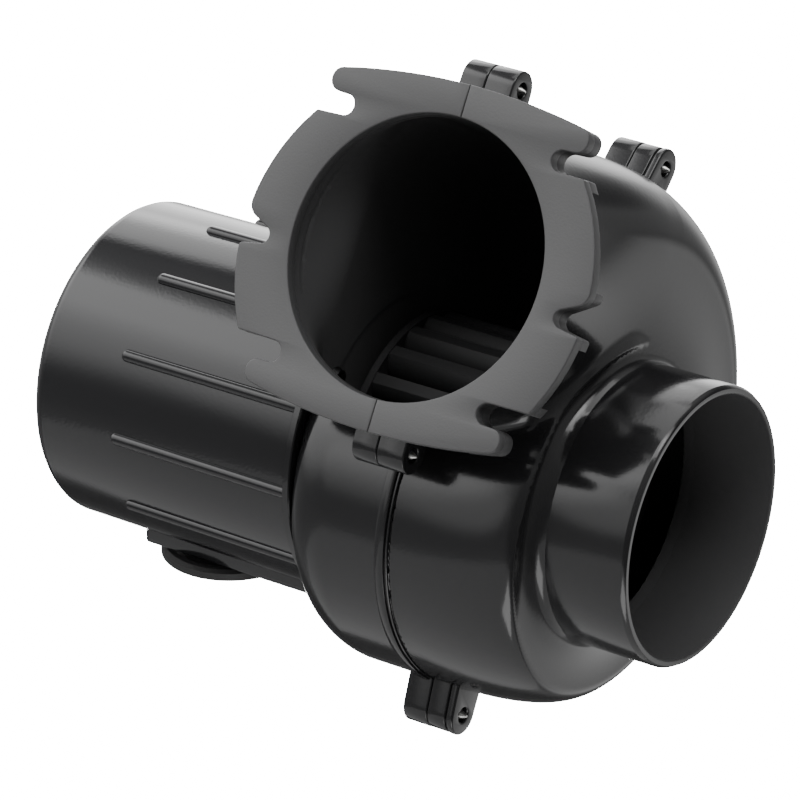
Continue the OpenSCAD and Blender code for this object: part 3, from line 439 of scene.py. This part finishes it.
def use_field_normals(obj, field, verts):
    """Shades the first vertices by the field's own slope, except at the corners of creases."""
    mesh = obj.data
    slope = gradient(field, verts)
    slope /= np.maximum(np.linalg.norm(slope, axis=1), 1e-6)[:, None]
    normals = read_all(mesh.corner_normals, "vector", 3)
    index = read_all(mesh.loops, "vertex_index", kind=np.int32)
    sizes = read_all(mesh.polygons, "loop_total", kind=np.int32)
    flat = np.repeat(read_all(mesh.polygons, "normal", 3), sizes, axis=0)
    exact = slope[np.minimum(index, len(verts) - 1)]
    agrees = (index < len(verts)) & ((exact * flat).sum(1) > CREASE_COS)
    normals[agrees] = exact[agrees]
    mesh.normals_split_custom_set(normals.tolist())


def line_inside_painted_light(obj, form):
    """Gives the faces of the air passage a duller finish, and a lighter colour as painted light inside the
    passage.
    """
    mesh = obj.data
    mesh.materials.append(DULL_INSIDE_PAINTED_LIGHT)
    centres = read_all(mesh.polygons, "center", 3)
    gap = cavity_field(*(centres / MM).T.astype(float), form)
    # The faces by the cavity's wall take the duller material with painted light.
    mesh.polygons.foreach_set("material_index", (np.abs(gap) < INSIDE_REACH).astype(np.int32))


# The flange in X and Z: bowed top and bottom, waisted sides, fingers beside the open corner slots, and an
# open slot in each side. Its sides are drawn for +X and mirrored.

BOW_Z, BOW_R = 46.0, 190
WAIST_Z, WAIST_R = -2.9, 52.4
SLOT, SLOT_R, SLOT_LIP_Z = 33.1, 2.8, 30.1
FINGER_X, FINGER_Z, FINGER_R = 39.2, 36.05, 3.1
SIDE_SLOT_X, SIDE_SLOT_Z, SIDE_SLOT_R = 46.2, -4.9, 2.4
SIDE_SLOT_ARC = (110, 262)
SIDE_MOUTH_HIGH, SIDE_MOUTH_LOW = 0.4, -8.3
BORE_STEPS = 90
FLANGE_BEVEL = 0.35
# The rims behind the slots.
RIM = 2.6
RIM_FROM, RIM_TO, RIM_BEVEL = 3.0, 7.6, 0.3
RIM_SIDE_INSET, RIM_END_INSET, RIM_SLOT_PLAY, RIM_LIP = 0.3, 0.2, 0.1, 0.15
SIDE_RIM_HIGH, SIDE_RIM_LOW = 3.6, -11.2


def bow(x):
    return BOW_Z - BOW_R + math.sqrt(BOW_R**2 - x * x)


def waist(z, inset=0.0):
    return math.sqrt((WAIST_R - inset) ** 2 - (z - WAIST_Z) ** 2)


def side_slot():
    """The open slot at the flange's side, from its upper to its lower mouth."""
    high, low = SIDE_MOUTH_HIGH, SIDE_MOUTH_LOW
    round_end = corners(arc(SIDE_SLOT_X, SIDE_SLOT_Z, SIDE_SLOT_R, *SIDE_SLOT_ARC))
    return [(waist(high), high, 4.0)] + round_end + [(waist(low), low, 1.0)]


def flange_edge(start):
    """The flange's outer edge on the +X side, from the top at X = start round to the bottom."""
    edge = [(start, bow(start), 0)]
    edge += [(x, bow(x), 0) for x in range(4, 36, 4)]
    edge += [(FINGER_X, bow(FINGER_X), FINGER_R), (FINGER_X, FINGER_Z, FINGER_R)]
    edge += corners(arc(SLOT, SLOT, SLOT_R, 90, 270))
    edge += [(waist(SLOT_LIP_Z), SLOT_LIP_Z, 1.0)]
    edge += [(waist(z), z, 0) for z in range(26, 5, -4)]
    edge += side_slot()
    edge += [(waist(z), z, 0) for z in range(-12, -29, -4)]
    edge += [(waist(-SLOT_LIP_Z), -SLOT_LIP_Z, 1.0)]
    edge += corners(arc(SLOT, -SLOT, SLOT_R, 90, 270))
    edge += [(FINGER_X, -FINGER_Z, FINGER_R), (FINGER_X, -bow(FINGER_X), FINGER_R)]
    edge += [(x, -bow(x), 0) for x in range(32, 3, -4)]
    return edge + [(start, -bow(start), 0)]


def flange_outline(side):
    """The C-shaped half of the flange on one side of the seam, in X and Z."""
    edge = SEAM + side * SEAM_PLAY
    reach = math.degrees(math.acos(side * edge / OUTLET_R))
    bore = arc(0, 0, OUTLET_R, -reach, reach, BORE_STEPS)
    loop = rounded(flange_edge(side * edge) + corners(bore))
    return [(side * x, z) for x, z in loop]


def corner_rim(up):
    """The deep part of a corner: a U round the slot that takes in the whole finger."""
    wide = SLOT_R + RIM
    low = SLOT - wide
    finger = FINGER_X - RIM_END_INSET
    finger_r = FINGER_R - RIM_SIDE_INSET
    loop = [(waist(up * low, RIM_SIDE_INSET), low, 0)]
    loop += [(waist(up * SLOT_LIP_Z, RIM_SIDE_INSET), SLOT_LIP_Z + RIM_LIP, 0.6)]
    loop += corners(arc(SLOT, SLOT, SLOT_R + RIM_SLOT_PLAY, 270, 90))
    loop += [(finger, FINGER_Z + RIM_LIP, finger_r), (finger, bow(FINGER_X) - RIM_END_INSET, finger_r)]
    loop += [(x, bow(x) - RIM_END_INSET, 0) for x in (34, 31)] + [(low, bow(low) - RIM_END_INSET, 0.6)]
    loop += corners(arc(SLOT, SLOT, wide, 180, 270, 10))
    return [(x, up * z) for x, z in rounded(loop)]


def side_rim():
    """The deep part of a side: a U round the slot."""
    start, end = SIDE_SLOT_ARC
    rows = [(SIDE_RIM_HIGH, 0), (SIDE_MOUTH_HIGH + 1.0, 2.0)]
    rows += [(SIDE_MOUTH_LOW - 0.1, 0.8), (SIDE_RIM_LOW, 0)]
    edge = [(waist(z, RIM_SIDE_INSET), z, r) for z, r in rows]
    loop = edge[:2] + corners(arc(SIDE_SLOT_X, SIDE_SLOT_Z, SIDE_SLOT_R + RIM_SLOT_PLAY, start, end))
    loop += edge[2:] + corners(arc(SIDE_SLOT_X, SIDE_SLOT_Z, SIDE_SLOT_R + RIM, end, start))
    return rounded(loop)


def flange_parts(side):
    def behind_face(middle):
        return lambda x, z, d: (x, middle + d, z)

    parts = [plate([flange_outline(side)], FLANGE_T, FLANGE_BEVEL, behind_face(FLANGE_T / 2))]
    for rim in (corner_rim(1), corner_rim(-1), side_rim()):
        loop = [(side * x, z) for x, z in rim]
        parts.append(plate([loop], RIM_TO - RIM_FROM, RIM_BEVEL, behind_face((RIM_FROM + RIM_TO) / 2)))
    return parts


# The ears that the screws join. Those of the scroll are given by angle and distance from the shaft.

SCROLL_EARS = ((72.0, 93.93), (276.5, 66.64), (350.0, 77.93))
FLANGE_EAR_Y, FLANGE_EAR_Z, FLANGE_EAR_ROOT = 12.0, 48.5, 10.2
EAR_R, FLANGE_EAR_R, EAR_SINK = 5.6, 5.1, 1.6
EAR_FRONT, EAR_REAR, EAR_BEVEL = 8.2, 7.6, 0.4
SCREW_HOLE_R, HEAD_HOLE_R, HOLE_STEPS = 2.1, 3.8, 29
# The seat under a screw's head: its outer radius, how deep the head's pocket is, and its play.
SEAT_R, POCKET, SEAT_PLAY, SEAT_BEVEL = 4.2, 3.2, 0.3, 0.05
# A front scroll ear is three plates with a slit between: from, to, how much wider, and edge rounding.
FRONT_EAR_PLATES = (
    (SEAM_PLAY, EAR_FRONT - 2.5, -0.1, EAR_BEVEL),
    (EAR_FRONT - 2.7, EAR_FRONT - 1.9, -0.7, 0.1),
    (EAR_FRONT - 2.1, EAR_FRONT, 0.0, 0.6),
)


def ear_places():
    """Each ear's centre in Y and Z, the way it points, its radius and the length of its straight sides."""
    out = []
    for a, r in SCROLL_EARS:
        t = math.radians(a)
        root = r - spiral_at(a) + EAR_SINK
        out.append((SHAFT_Y + r * math.cos(t), SHAFT_Z + r * math.sin(t), a, EAR_R, root))
    for s in (-1, 1):
        out.append((FLANGE_EAR_Y, s * FLANGE_EAR_Z, s * 90.0, FLANGE_EAR_R, FLANGE_EAR_ROOT))
    return out


def ear_outline(y, z, a, r, root, grow=0.0):
    """A round end and straight sides that widen a little towards the root."""
    wide = r + grow
    loop = arc(0, 0, wide, -88, 88, 24) + [(-root, wide + 0.5), (-root, -wide - 0.5)]
    c, s = math.cos(math.radians(a)), math.sin(math.radians(a))
    return [(y + p * c - q * s, z + p * s + q * c) for p, q in loop]


def hole(y, z, r):
    """A circle, left open by one step because the plate closes its loops."""
    return arc(y, z, r, 0, 360 - 360 / (HOLE_STEPS + 1), HOLE_STEPS)


def across(middle):
    return lambda y, z, d: (middle + d, y, z)


def ear_plate(place, x0, x1, hole_r, grow=0.0, bevel=EAR_BEVEL):
    loops = [ear_outline(*place, grow), hole(*place[:2], hole_r)]
    return plate(loops, x1 - x0, bevel, across((x0 + x1) / 2))


def rear_ear(place):
    """An ear with a pocket for the screw's head, and the seat under the head."""
    seat = [hole(*place[:2], r) for r in (SEAT_R, SCREW_HOLE_R)]
    middle = (SEAM - EAR_REAR + POCKET + SEAM - SEAT_PLAY) / 2
    body = ear_plate(place, SEAM - EAR_REAR, SEAM - SEAM_PLAY, HEAD_HOLE_R)
    return [body, plate(seat, EAR_REAR - POCKET - SEAT_PLAY, SEAT_BEVEL, across(middle))]


def ear_parts(side):
    parts = []
    for i, place in enumerate(ear_places()):
        if side < 0:
            parts += rear_ear(place)
        elif i < len(SCROLL_EARS):
            for start, end, grow, bevel in FRONT_EAR_PLATES:
                parts.append(ear_plate(place, SEAM + start, SEAM + end, SCREW_HOLE_R, grow, bevel))
        else:
            parts.append(ear_plate(place, SEAM + SEAM_PLAY, SEAM + EAR_FRONT, SCREW_HOLE_R))
    return parts


# The spigot's turned wall in cross-section: distance in from PORT_R, and X.
SPIGOT_OUTER = ((0.15, 40.5), (0.0, 42.5), (0.0, 64.2), (0.05, 64.4), (0.65, 65.45), (0.85, 65.6))
# Its inner side: distance out from the bore, and X.
SPIGOT_INNER = ((0.35, 65.6), (0.1, 65.5), (0.0, 65.2), (0.0, 42.5), (0.15, 40.5))
# The lip in cross-section, out from the seam and up from the wall: a raised band, then a low strip.
LIP_BAND = ((-4.2, -0.6), (-4.0, 0.6), (-3.5, 0.95), (-1.5, 0.95), (-1.15, 0.75), (-1.1, -1.2))
LIP_STRIP = ((-0.78, -1.2), (-0.74, 0.3), (-0.62, 0.42), (-0.3, 0.42), (-0.16, 0.3), (-0.12, -1.2))
LIP_STEP = 2.0
LIP_START = TONGUE_A + 4


def spigot_wall():
    outer = [(PORT_R - d, x) for d, x in SPIGOT_OUTER]
    return lathe(outer + [(PORT_R - PORT_WALL + d, x) for d, x in SPIGOT_INNER])


def tube_faces(rows, ring):
    """The faces of a tube whose vertices come in rows of ring, with both ends closed."""
    faces = []
    for i in range(rows - 1):
        for j in range(ring):
            m = (j + 1) % ring
            faces.append((i * ring + j, (i + 1) * ring + j, (i + 1) * ring + m, i * ring + m))
    last = (rows - 1) * ring
    return faces + [tuple(range(ring)), tuple(reversed(range(last, last + ring)))]


def lip_band(profile):
    """A strip of the rear half along the seam, from the tongue round to the top."""
    verts = []
    angles = np.arange(LIP_START, TOP_A + 0.1, LIP_STEP)
    for a in angles:
        r = spiral_at(a)
        t = math.radians(a)
        for dx, dr in profile:
            verts.append((SEAM + dx, SHAFT_Y + (r + dr) * math.cos(t), SHAFT_Z + (r + dr) * math.sin(t)))
    return verts, tube_faces(len(angles), len(profile))


# Motor cover. Its closed end is rounded off over CROWN_IN across and CROWN_LONG along.

COVER_R, COVER_LEN, COVER_WALL = 44.5, 92.6, 2.2
CROWN_IN, CROWN_LONG, CROWN_STEPS, CROWN_INNER_STEPS = 26, 9, 14, 8
AXIS_R = 0.01
# The collar at the housing: radius, and distance behind BACK_X.
COLLAR = ((42.9, 0.0), (46.2, 0.0), (46.55, 0.3), (46.55, 2.0), (46.2, 2.3), (45.1, 2.5))
RIB_FROM, RIB_TO, RIB_R = -92.8, BACK_X - 1, 1.8
RIB_END_R, RIB_START_R, RIB_TIP_R = 44.4, 44.7, 0.02
RIB_RING, RIB_END_STEPS = 20, 6
RIB_ANGLES = range(0, 241, 30)
RAIL_ANGLE, RAIL_FROM, RAIL_TO = 300, -105.0, BACK_X - 0.1
RAIL_HALF, RAIL_CORNER_R, RAIL_CORNER_STEPS = 15.5, 2.0, 8
RAIL_MIDDLE_R, RAIL_T, RAIL_BEVEL = 43.2, 8.0, 0.5


def crown(r, turn_in, length, steps):
    """The rounded edge of the closed end, from the cover's side to its flat end."""
    turns = [math.radians(90 * i / steps) for i in range(steps + 1)]
    end = BACK_X - length + CROWN_LONG
    return [(r - turn_in * (1 - math.cos(t)), end - CROWN_LONG * math.sin(t)) for t in turns]


def cover_profile():
    mouth = [(r, BACK_X - d) for r, d in COLLAR]
    top = crown(COVER_R, CROWN_IN, COVER_LEN, CROWN_STEPS)
    inside = crown(COVER_R - COVER_WALL, CROWN_IN - 1, COVER_LEN - COVER_WALL, CROWN_INNER_STEPS)[::-1]
    return mouth + top + [(AXIS_R, top[-1][1]), (AXIS_R, inside[0][1])] + inside


def cover_rib(angle):
    """A half-round rib along the cover, with a rounded end away from the housing."""
    turns = [math.radians(90 * i / RIB_END_STEPS) for i in reversed(range(RIB_END_STEPS))]
    rows = [(RIB_FROM, RIB_TIP_R)]
    rows += [(RIB_FROM + RIB_R * (1 - math.sin(t)), RIB_R * math.cos(t)) for t in turns]
    rows += [(RIB_TO, RIB_R)]
    t0 = math.radians(angle)
    verts = []
    for x, r in rows:
        base = RIB_END_R + (RIB_START_R - RIB_END_R) * (x - RIB_FROM) / (RIB_TO - RIB_FROM)
        for j in range(RIB_RING):
            b = 2 * math.pi * j / RIB_RING
            radial = base + r * math.cos(b)
            side = r * math.sin(b)
            y = SHAFT_Y + radial * math.cos(t0) - side * math.sin(t0)
            z = SHAFT_Z + radial * math.sin(t0) + side * math.cos(t0)
            verts.append((x, y, z))
    return verts, tube_faces(len(rows), RIB_RING)


def rail():
    """The flat-faced rail under the cover that carries the foot."""
    t = math.radians(RAIL_ANGLE)
    out, along = (math.cos(t), math.sin(t)), (-math.sin(t), math.cos(t))
    h, round_r = RAIL_HALF, RAIL_CORNER_R
    ends = [(RAIL_FROM, -h, round_r), (RAIL_TO, -h, 0), (RAIL_TO, h, 0), (RAIL_FROM, h, round_r)]
    outline = rounded(ends, RAIL_CORNER_STEPS)

    def place(x, s, d):
        r = RAIL_MIDDLE_R + d
        return (x, SHAFT_Y + r * out[0] + s * along[0], SHAFT_Z + r * out[1] + s * along[1])

    return plate([outline], RAIL_T, RAIL_BEVEL, place)


# Materials.


def add(tree, kind, **values):
    """A node with its inputs and settings."""
    node = tree.nodes.new(kind)
    for key, value in values.items():
        if key in node.inputs:
            node.inputs[key].default_value = value
        else:
            setattr(node, key, value)
    return node


def moulded(name, dark, light, rough, spread, grain, depth, specular=0.5, metal=0.0):
    """Moulded or worked surface: a slow change of colour and gloss, and a fine grain as bump."""
    material = bpy.data.materials.new(name)
    material.use_nodes = True
    tree = material.node_tree
    shader = tree.nodes["Principled BSDF"]
    place = add(tree, "ShaderNodeTexCoord")
    slow = add(tree, "ShaderNodeTexNoise", Scale=18.0, Detail=3.0)
    fine = add(tree, "ShaderNodeTexNoise", Scale=grain, Detail=2.0)
    mix = add(tree, "ShaderNodeMix", data_type="RGBA")
    mix.inputs[6].default_value = (*dark, 1)
    mix.inputs[7].default_value = (*light, 1)
    gloss = add(tree, "ShaderNodeMapRange")
    gloss.inputs["To Min"].default_value = max(rough - spread, 0.02)
    gloss.inputs["To Max"].default_value = rough + spread
    bump = add(tree, "ShaderNodeBump", Strength=depth, Distance=0.0004)
    link = tree.links.new
    for noise in (slow, fine):
        link(place.outputs["Object"], noise.inputs["Vector"])
    link(slow.outputs["Fac"], mix.inputs[0])
    link(mix.outputs[2], shader.inputs["Base Color"])
    link(slow.outputs["Fac"], gloss.inputs["Value"])
    link(gloss.outputs["Result"], shader.inputs["Roughness"])
    link(fine.outputs["Fac"], bump.inputs["Height"])
    link(bump.outputs["Normal"], shader.inputs["Normal"])
    shader.inputs["Specular IOR Level"].default_value = specular
    shader.inputs["Metallic"].default_value = metal
    return material


GLOSS = moulded("gloss_black", (0.011, 0.011, 0.0115), (0.015, 0.015, 0.016), 0.14, 0.03, 900.0, 0.04)
# Painted light: the passage's inside is several times lighter than the same black plastic outside, which
# stands in for light inside it; its rougher, less glossy surface is a duller finish.
DULL_INSIDE_PAINTED_LIGHT = moulded("inner_dull_painted_light", (0.055, 0.055, 0.056), (0.065, 0.065, 0.066), 0.5, 0.05, 900.0, 0.05, 0.15)
COVER = moulded("cover_black", (0.008, 0.008, 0.009), (0.013, 0.013, 0.014), 0.12, 0.02, 1200.0, 0.05)
SATIN = moulded("satin_black", (0.055, 0.055, 0.056), (0.065, 0.065, 0.066), 0.45, 0.05, 1500.0, 0.1)
WHEEL = moulded("wheel_black", (0.014, 0.014, 0.0145), (0.02, 0.02, 0.0205), 0.55, 0.04, 1200.0, 0.05, 0.2)
DARK_STEEL = moulded(
    "dark_steel", (0.02, 0.02, 0.02), (0.035, 0.035, 0.035), 0.5, 0.06, 600.0, 0.1, metal=1.0
)
RUBBER = moulded("black_rubber", (0.012, 0.012, 0.012), (0.02, 0.02, 0.02), 0.55, 0.08, 1400.0, 0.15)
STEEL = moulded("zinc_steel", (0.42, 0.42, 0.41), (0.6, 0.6, 0.58), 0.28, 0.08, 600.0, 0.1, metal=1.0)
BRASS = moulded("brass", (0.6, 0.42, 0.18), (0.75, 0.56, 0.28), 0.3, 0.08, 600.0, 0.1, metal=1.0)
COPPER = moulded("enamelled_copper", (0.45, 0.16, 0.06), (0.6, 0.26, 0.1), 0.3, 0.08, 300.0, 0.3, metal=1.0)
CAN = moulded("plated_can", (0.35, 0.35, 0.34), (0.5, 0.5, 0.49), 0.35, 0.1, 500.0, 0.1, metal=1.0)
CARD = moulded("fibre_card", (0.16, 0.08, 0.03), (0.24, 0.13, 0.05), 0.6, 0.08, 700.0, 0.2)
CARBON = moulded("carbon", (0.02, 0.02, 0.02), (0.035, 0.035, 0.035), 0.5, 0.1, 900.0, 0.2)
FIBRE = moulded("pale_fibre", (0.55, 0.5, 0.4), (0.68, 0.62, 0.5), 0.6, 0.08, 700.0, 0.1)

CARRIED = {
    "housing_screws": STEEL, "cover_screws": DARK_STEEL, "cable_grommet": RUBBER, "mounting_foot": RUBBER,
    "foot_screw": STEEL, "blower_wheel": WHEEL, "wheel_hub": BRASS, "hub_grub_screw": STEEL,
    "motor_shaft": STEEL, "thrust_washers": FIBRE, "armature_core": CAN, "armature_windings": COPPER,
    "commutator": COPPER, "motor_can": CAN, "motor_front_plate": CAN, "motor_screws": DARK_STEEL,
    "field_magnets": CARBON, "front_bush": BRASS, "rear_bush": BRASS, "brush_card": CARD,
    "brush_holders": BRASS, "brushes": CARBON, "brush_springs": STEEL, "terminal_tabs": BRASS,
}


def dress_carried():
    for name, material in CARRIED.items():
        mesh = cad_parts[name].data
        mesh.materials.clear()
        mesh.materials.append(material)
        mesh.shade_smooth()
        mesh.set_sharp_from_angle(angle=math.radians(CARRIED_ANGLE))


# The pieces.


def make_housings():
    for name, form in (("front", FRONT), ("rear", REAR)):
        side = form["side"]
        verts, quads = shell(form)
        parts = [(verts, quads.tolist())] + ear_parts(side)
        parts += [spigot_wall()] if side > 0 else [lip_band(LIP_BAND), lip_band(LIP_STRIP)]
        moulding = join(f"housing_{name}_moulding", parts, GLOSS)
        use_field_normals(moulding, lambda x, y, z: shell_field(x, y, z, form), verts)
        line_inside_painted_light(moulding, form)
        flange = join(f"flange_{name}", flange_parts(side), SATIN)
        for piece in (moulding, flange):
            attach(piece, "housing")
            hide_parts(f"housing_{name}")


def make_cover():
    parts = [lathe(cover_profile()), rail()] + [cover_rib(angle) for angle in RIB_ANGLES]
    cover = join("motor_cover", parts, COVER)
    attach(cover, "housing")
    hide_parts("rear_cover")


# Camera, in metres. Its focal length is in pixels of a frame FRAME_PX wide.

CAMERA_AT = Vector((0.6537, -1.0908, -0.0331))
CAMERA_RIGHT = Vector((0.82456, 0.48877, 0.28495))
CAMERA_UP = Vector((-0.24625, -0.1434, 0.95854))
FOCAL_PX, FRAME_PX, SENSOR = 5009.8, 800.0, 36.0
CLIP_END = 20


def make_camera():
    data = bpy.data.cameras.new("camera")
    data.lens = SENSOR * FOCAL_PX / FRAME_PX
    data.sensor_width = SENSOR
    data.clip_end = CLIP_END
    camera = bpy.data.objects.new("camera", data)
    put_in_scene(camera)
    back = CAMERA_RIGHT.cross(CAMERA_UP).normalized()
    turn = Matrix((CAMERA_RIGHT, back.cross(CAMERA_RIGHT), back)).transposed()
    camera.matrix_world = Matrix.Translation(CAMERA_AT) @ turn.to_4x4()
    bpy.context.scene.camera = camera


# Area lights, in metres and watts: name, place, size and power. All aim at the part's middle.
AIM = (0, 0.06, -0.03)
LIGHTS = (
    ("top", (0.0, -0.3, 1.3), (1.0, 1.0), 6),
    ("front", (0.51, -1.26, 1.46), (1.8, 0.7), 17),
    ("low", (0.45, -0.15, -0.9), (0.45, 0.45), 1.9),
)
# The studio round the part by elevation: pale below, a dark line, paler upwards, a dark band, then the top.
ELEVATIONS = (
    (-90, 1.3), (-72, 1.1), (-60, 0.65), (-45, 0.45), (-34, 0.3), (-24, 0.28), (-16, 0.4), (-4, 0.55),
    (8, 0.75), (20, 1.1), (34, 1.1), (39, 0.35), (44, 0.15), (54, 0.15), (62, 0.35), (75, 0.6), (90, 0.8),
)
# Round soft patches: azimuth, elevation, inner and outer angle, strength. The first four change the
# shades by elevation, and the others are added to them.
LEFT_WALL = (-141, 22, 25, 43, 2.6)
DARK_ROOM = (-35, 8, 50, 64, -0.6)
RIGHT_DIM = (55, 25, 20, 45, -0.6)
BACK_DIM = (125, -18, 22, 36, -0.75)
KEYS = (
    (155, 52, 12, 21, 2.9), (132, 33, 10, 26, 2.6), (60, -14, 18, 30, 0.75),
    (-112, -8, 8, 20, 0.8), (-42, 52, 6, 14, 3.5),
)
BACKDROP = (120.62, -0.12, 6.7, 8.0, 20.0)
# What the camera itself sees behind the part.
WHITE = 24.0


def area_light(name, place, size, power):
    data = bpy.data.lights.new(name, "AREA")
    data.shape = "RECTANGLE"
    data.size, data.size_y = size
    data.energy = power
    lamp = bpy.data.objects.new(name, data)
    lamp.visible_camera = False
    put_in_scene(lamp)
    lamp.location = place
    lamp.rotation_euler = (Vector(AIM) - Vector(place)).to_track_quat("-Z", "Y").to_euler()


def direction(azimuth, elevation):
    a, e = math.radians(azimuth), math.radians(elevation)
    return (math.cos(e) * math.cos(a), math.cos(e) * math.sin(a), math.sin(e))


def patch(tree, place, azimuth, elevation, inner, outer, strength):
    """A round soft patch of the world, between two angles off its own direction."""
    dot = add(tree, "ShaderNodeVectorMath", operation="DOT_PRODUCT")
    dot.inputs[1].default_value = direction(azimuth, elevation)
    edge = add(tree, "ShaderNodeMapRange", interpolation_type="SMOOTHSTEP")
    edge.inputs["From Min"].default_value = math.cos(math.radians(outer))
    edge.inputs["From Max"].default_value = math.cos(math.radians(inner))
    edge.inputs["To Max"].default_value = strength
    tree.links.new(place.outputs["Generated"], dot.inputs[0])
    tree.links.new(dot.outputs["Value"], edge.inputs["Value"])
    return edge.outputs["Result"]


def set_stops(stops):
    """A stop for each elevation, made in rising order because the ramp sorts its stops."""
    places = [(math.sin(math.radians(elevation)) + 1) / 2 for elevation, shade in ELEVATIONS]
    for place in places[1:-1]:
        stops.new(place)
    for stop, (elevation, shade) in zip(stops, ELEVATIONS):
        stop.color = (shade, shade, shade, 1)


def by_elevation(tree, place):
    """The studio's shade, which depends on elevation alone."""
    link = tree.links.new
    split = add(tree, "ShaderNodeSeparateXYZ")
    level = add(tree, "ShaderNodeMapRange")
    level.inputs["From Min"].default_value = -1.0
    ramp = add(tree, "ShaderNodeValToRGB")
    set_stops(ramp.color_ramp.elements)
    link(place.outputs["Generated"], split.inputs[0])
    link(split.outputs["Z"], level.inputs["Value"])
    link(level.outputs["Result"], ramp.inputs["Fac"])
    return ramp.outputs["Color"]


def combined(tree, kind, first, second):
    """A sum, product or maximum of two sockets or numbers."""
    node = add(tree, "ShaderNodeMath", operation=kind)
    for value, socket in zip((first, second), node.inputs):
        if isinstance(value, float):
            socket.default_value = value
        else:
            tree.links.new(value, socket)
    return node.outputs[0]


def make_world():
    """The studio as a world that the part mirrors, and plain white for the camera."""
    world = bpy.data.worlds.new("studio")
    world.use_nodes = True
    tree = world.node_tree
    place = add(tree, "ShaderNodeTexCoord")
    shade = by_elevation(tree, place)
    room = 1.0
    for wall in (LEFT_WALL, DARK_ROOM, RIGHT_DIM, BACK_DIM):
        room = combined(tree, "ADD", room, patch(tree, place, *wall))
    total = combined(tree, "MULTIPLY", shade, room)
    for soft in KEYS + (BACKDROP,):
        total = combined(tree, "ADD", total, patch(tree, place, *soft))
    rays = add(tree, "ShaderNodeLightPath")
    plain = combined(tree, "MULTIPLY", rays.outputs["Is Camera Ray"], WHITE)
    shader = tree.nodes["Background"]
    shader.inputs["Color"].default_value = (1, 1, 1, 1)
    tree.links.new(combined(tree, "MAXIMUM", total, plain), shader.inputs["Strength"])
    bpy.context.scene.world = world


FLOOR_Z, FLOOR_R = -1.2, 1.3
FLOOR_RINGS, FLOOR_SPOKES = 12, 72


def make_floor():
    """A round pale floor well below the part, so that its sides mirror the studio and not the floor."""
    verts, faces = [(0, 0, FLOOR_Z)], []
    rings, spokes = FLOOR_RINGS, FLOOR_SPOKES
    for i in range(1, rings + 1):
        for x, y in arc(0, 0, FLOOR_R * i / rings, 0, 360 - 360 / spokes, spokes - 1):
            verts.append((x, y, FLOOR_Z))
    for j in range(spokes):
        k = (j + 1) % spokes
        faces.append((0, 1 + j, 1 + k))
        for i in range(rings - 1):
            a, b = 1 + i * spokes, 1 + (i + 1) * spokes
            faces.append((a + j, b + j, b + k, a + k))
    pale = moulded("floor", (0.55, 0.55, 0.55), (0.6, 0.6, 0.6), 0.7, 0.05, 60.0, 0.02)
    new_object("floor", verts, faces, pale)


make_camera()
make_floor()
make_world()
for light in LIGHTS:
    area_light(*light)
dress_carried()
make_housings()
make_cover()
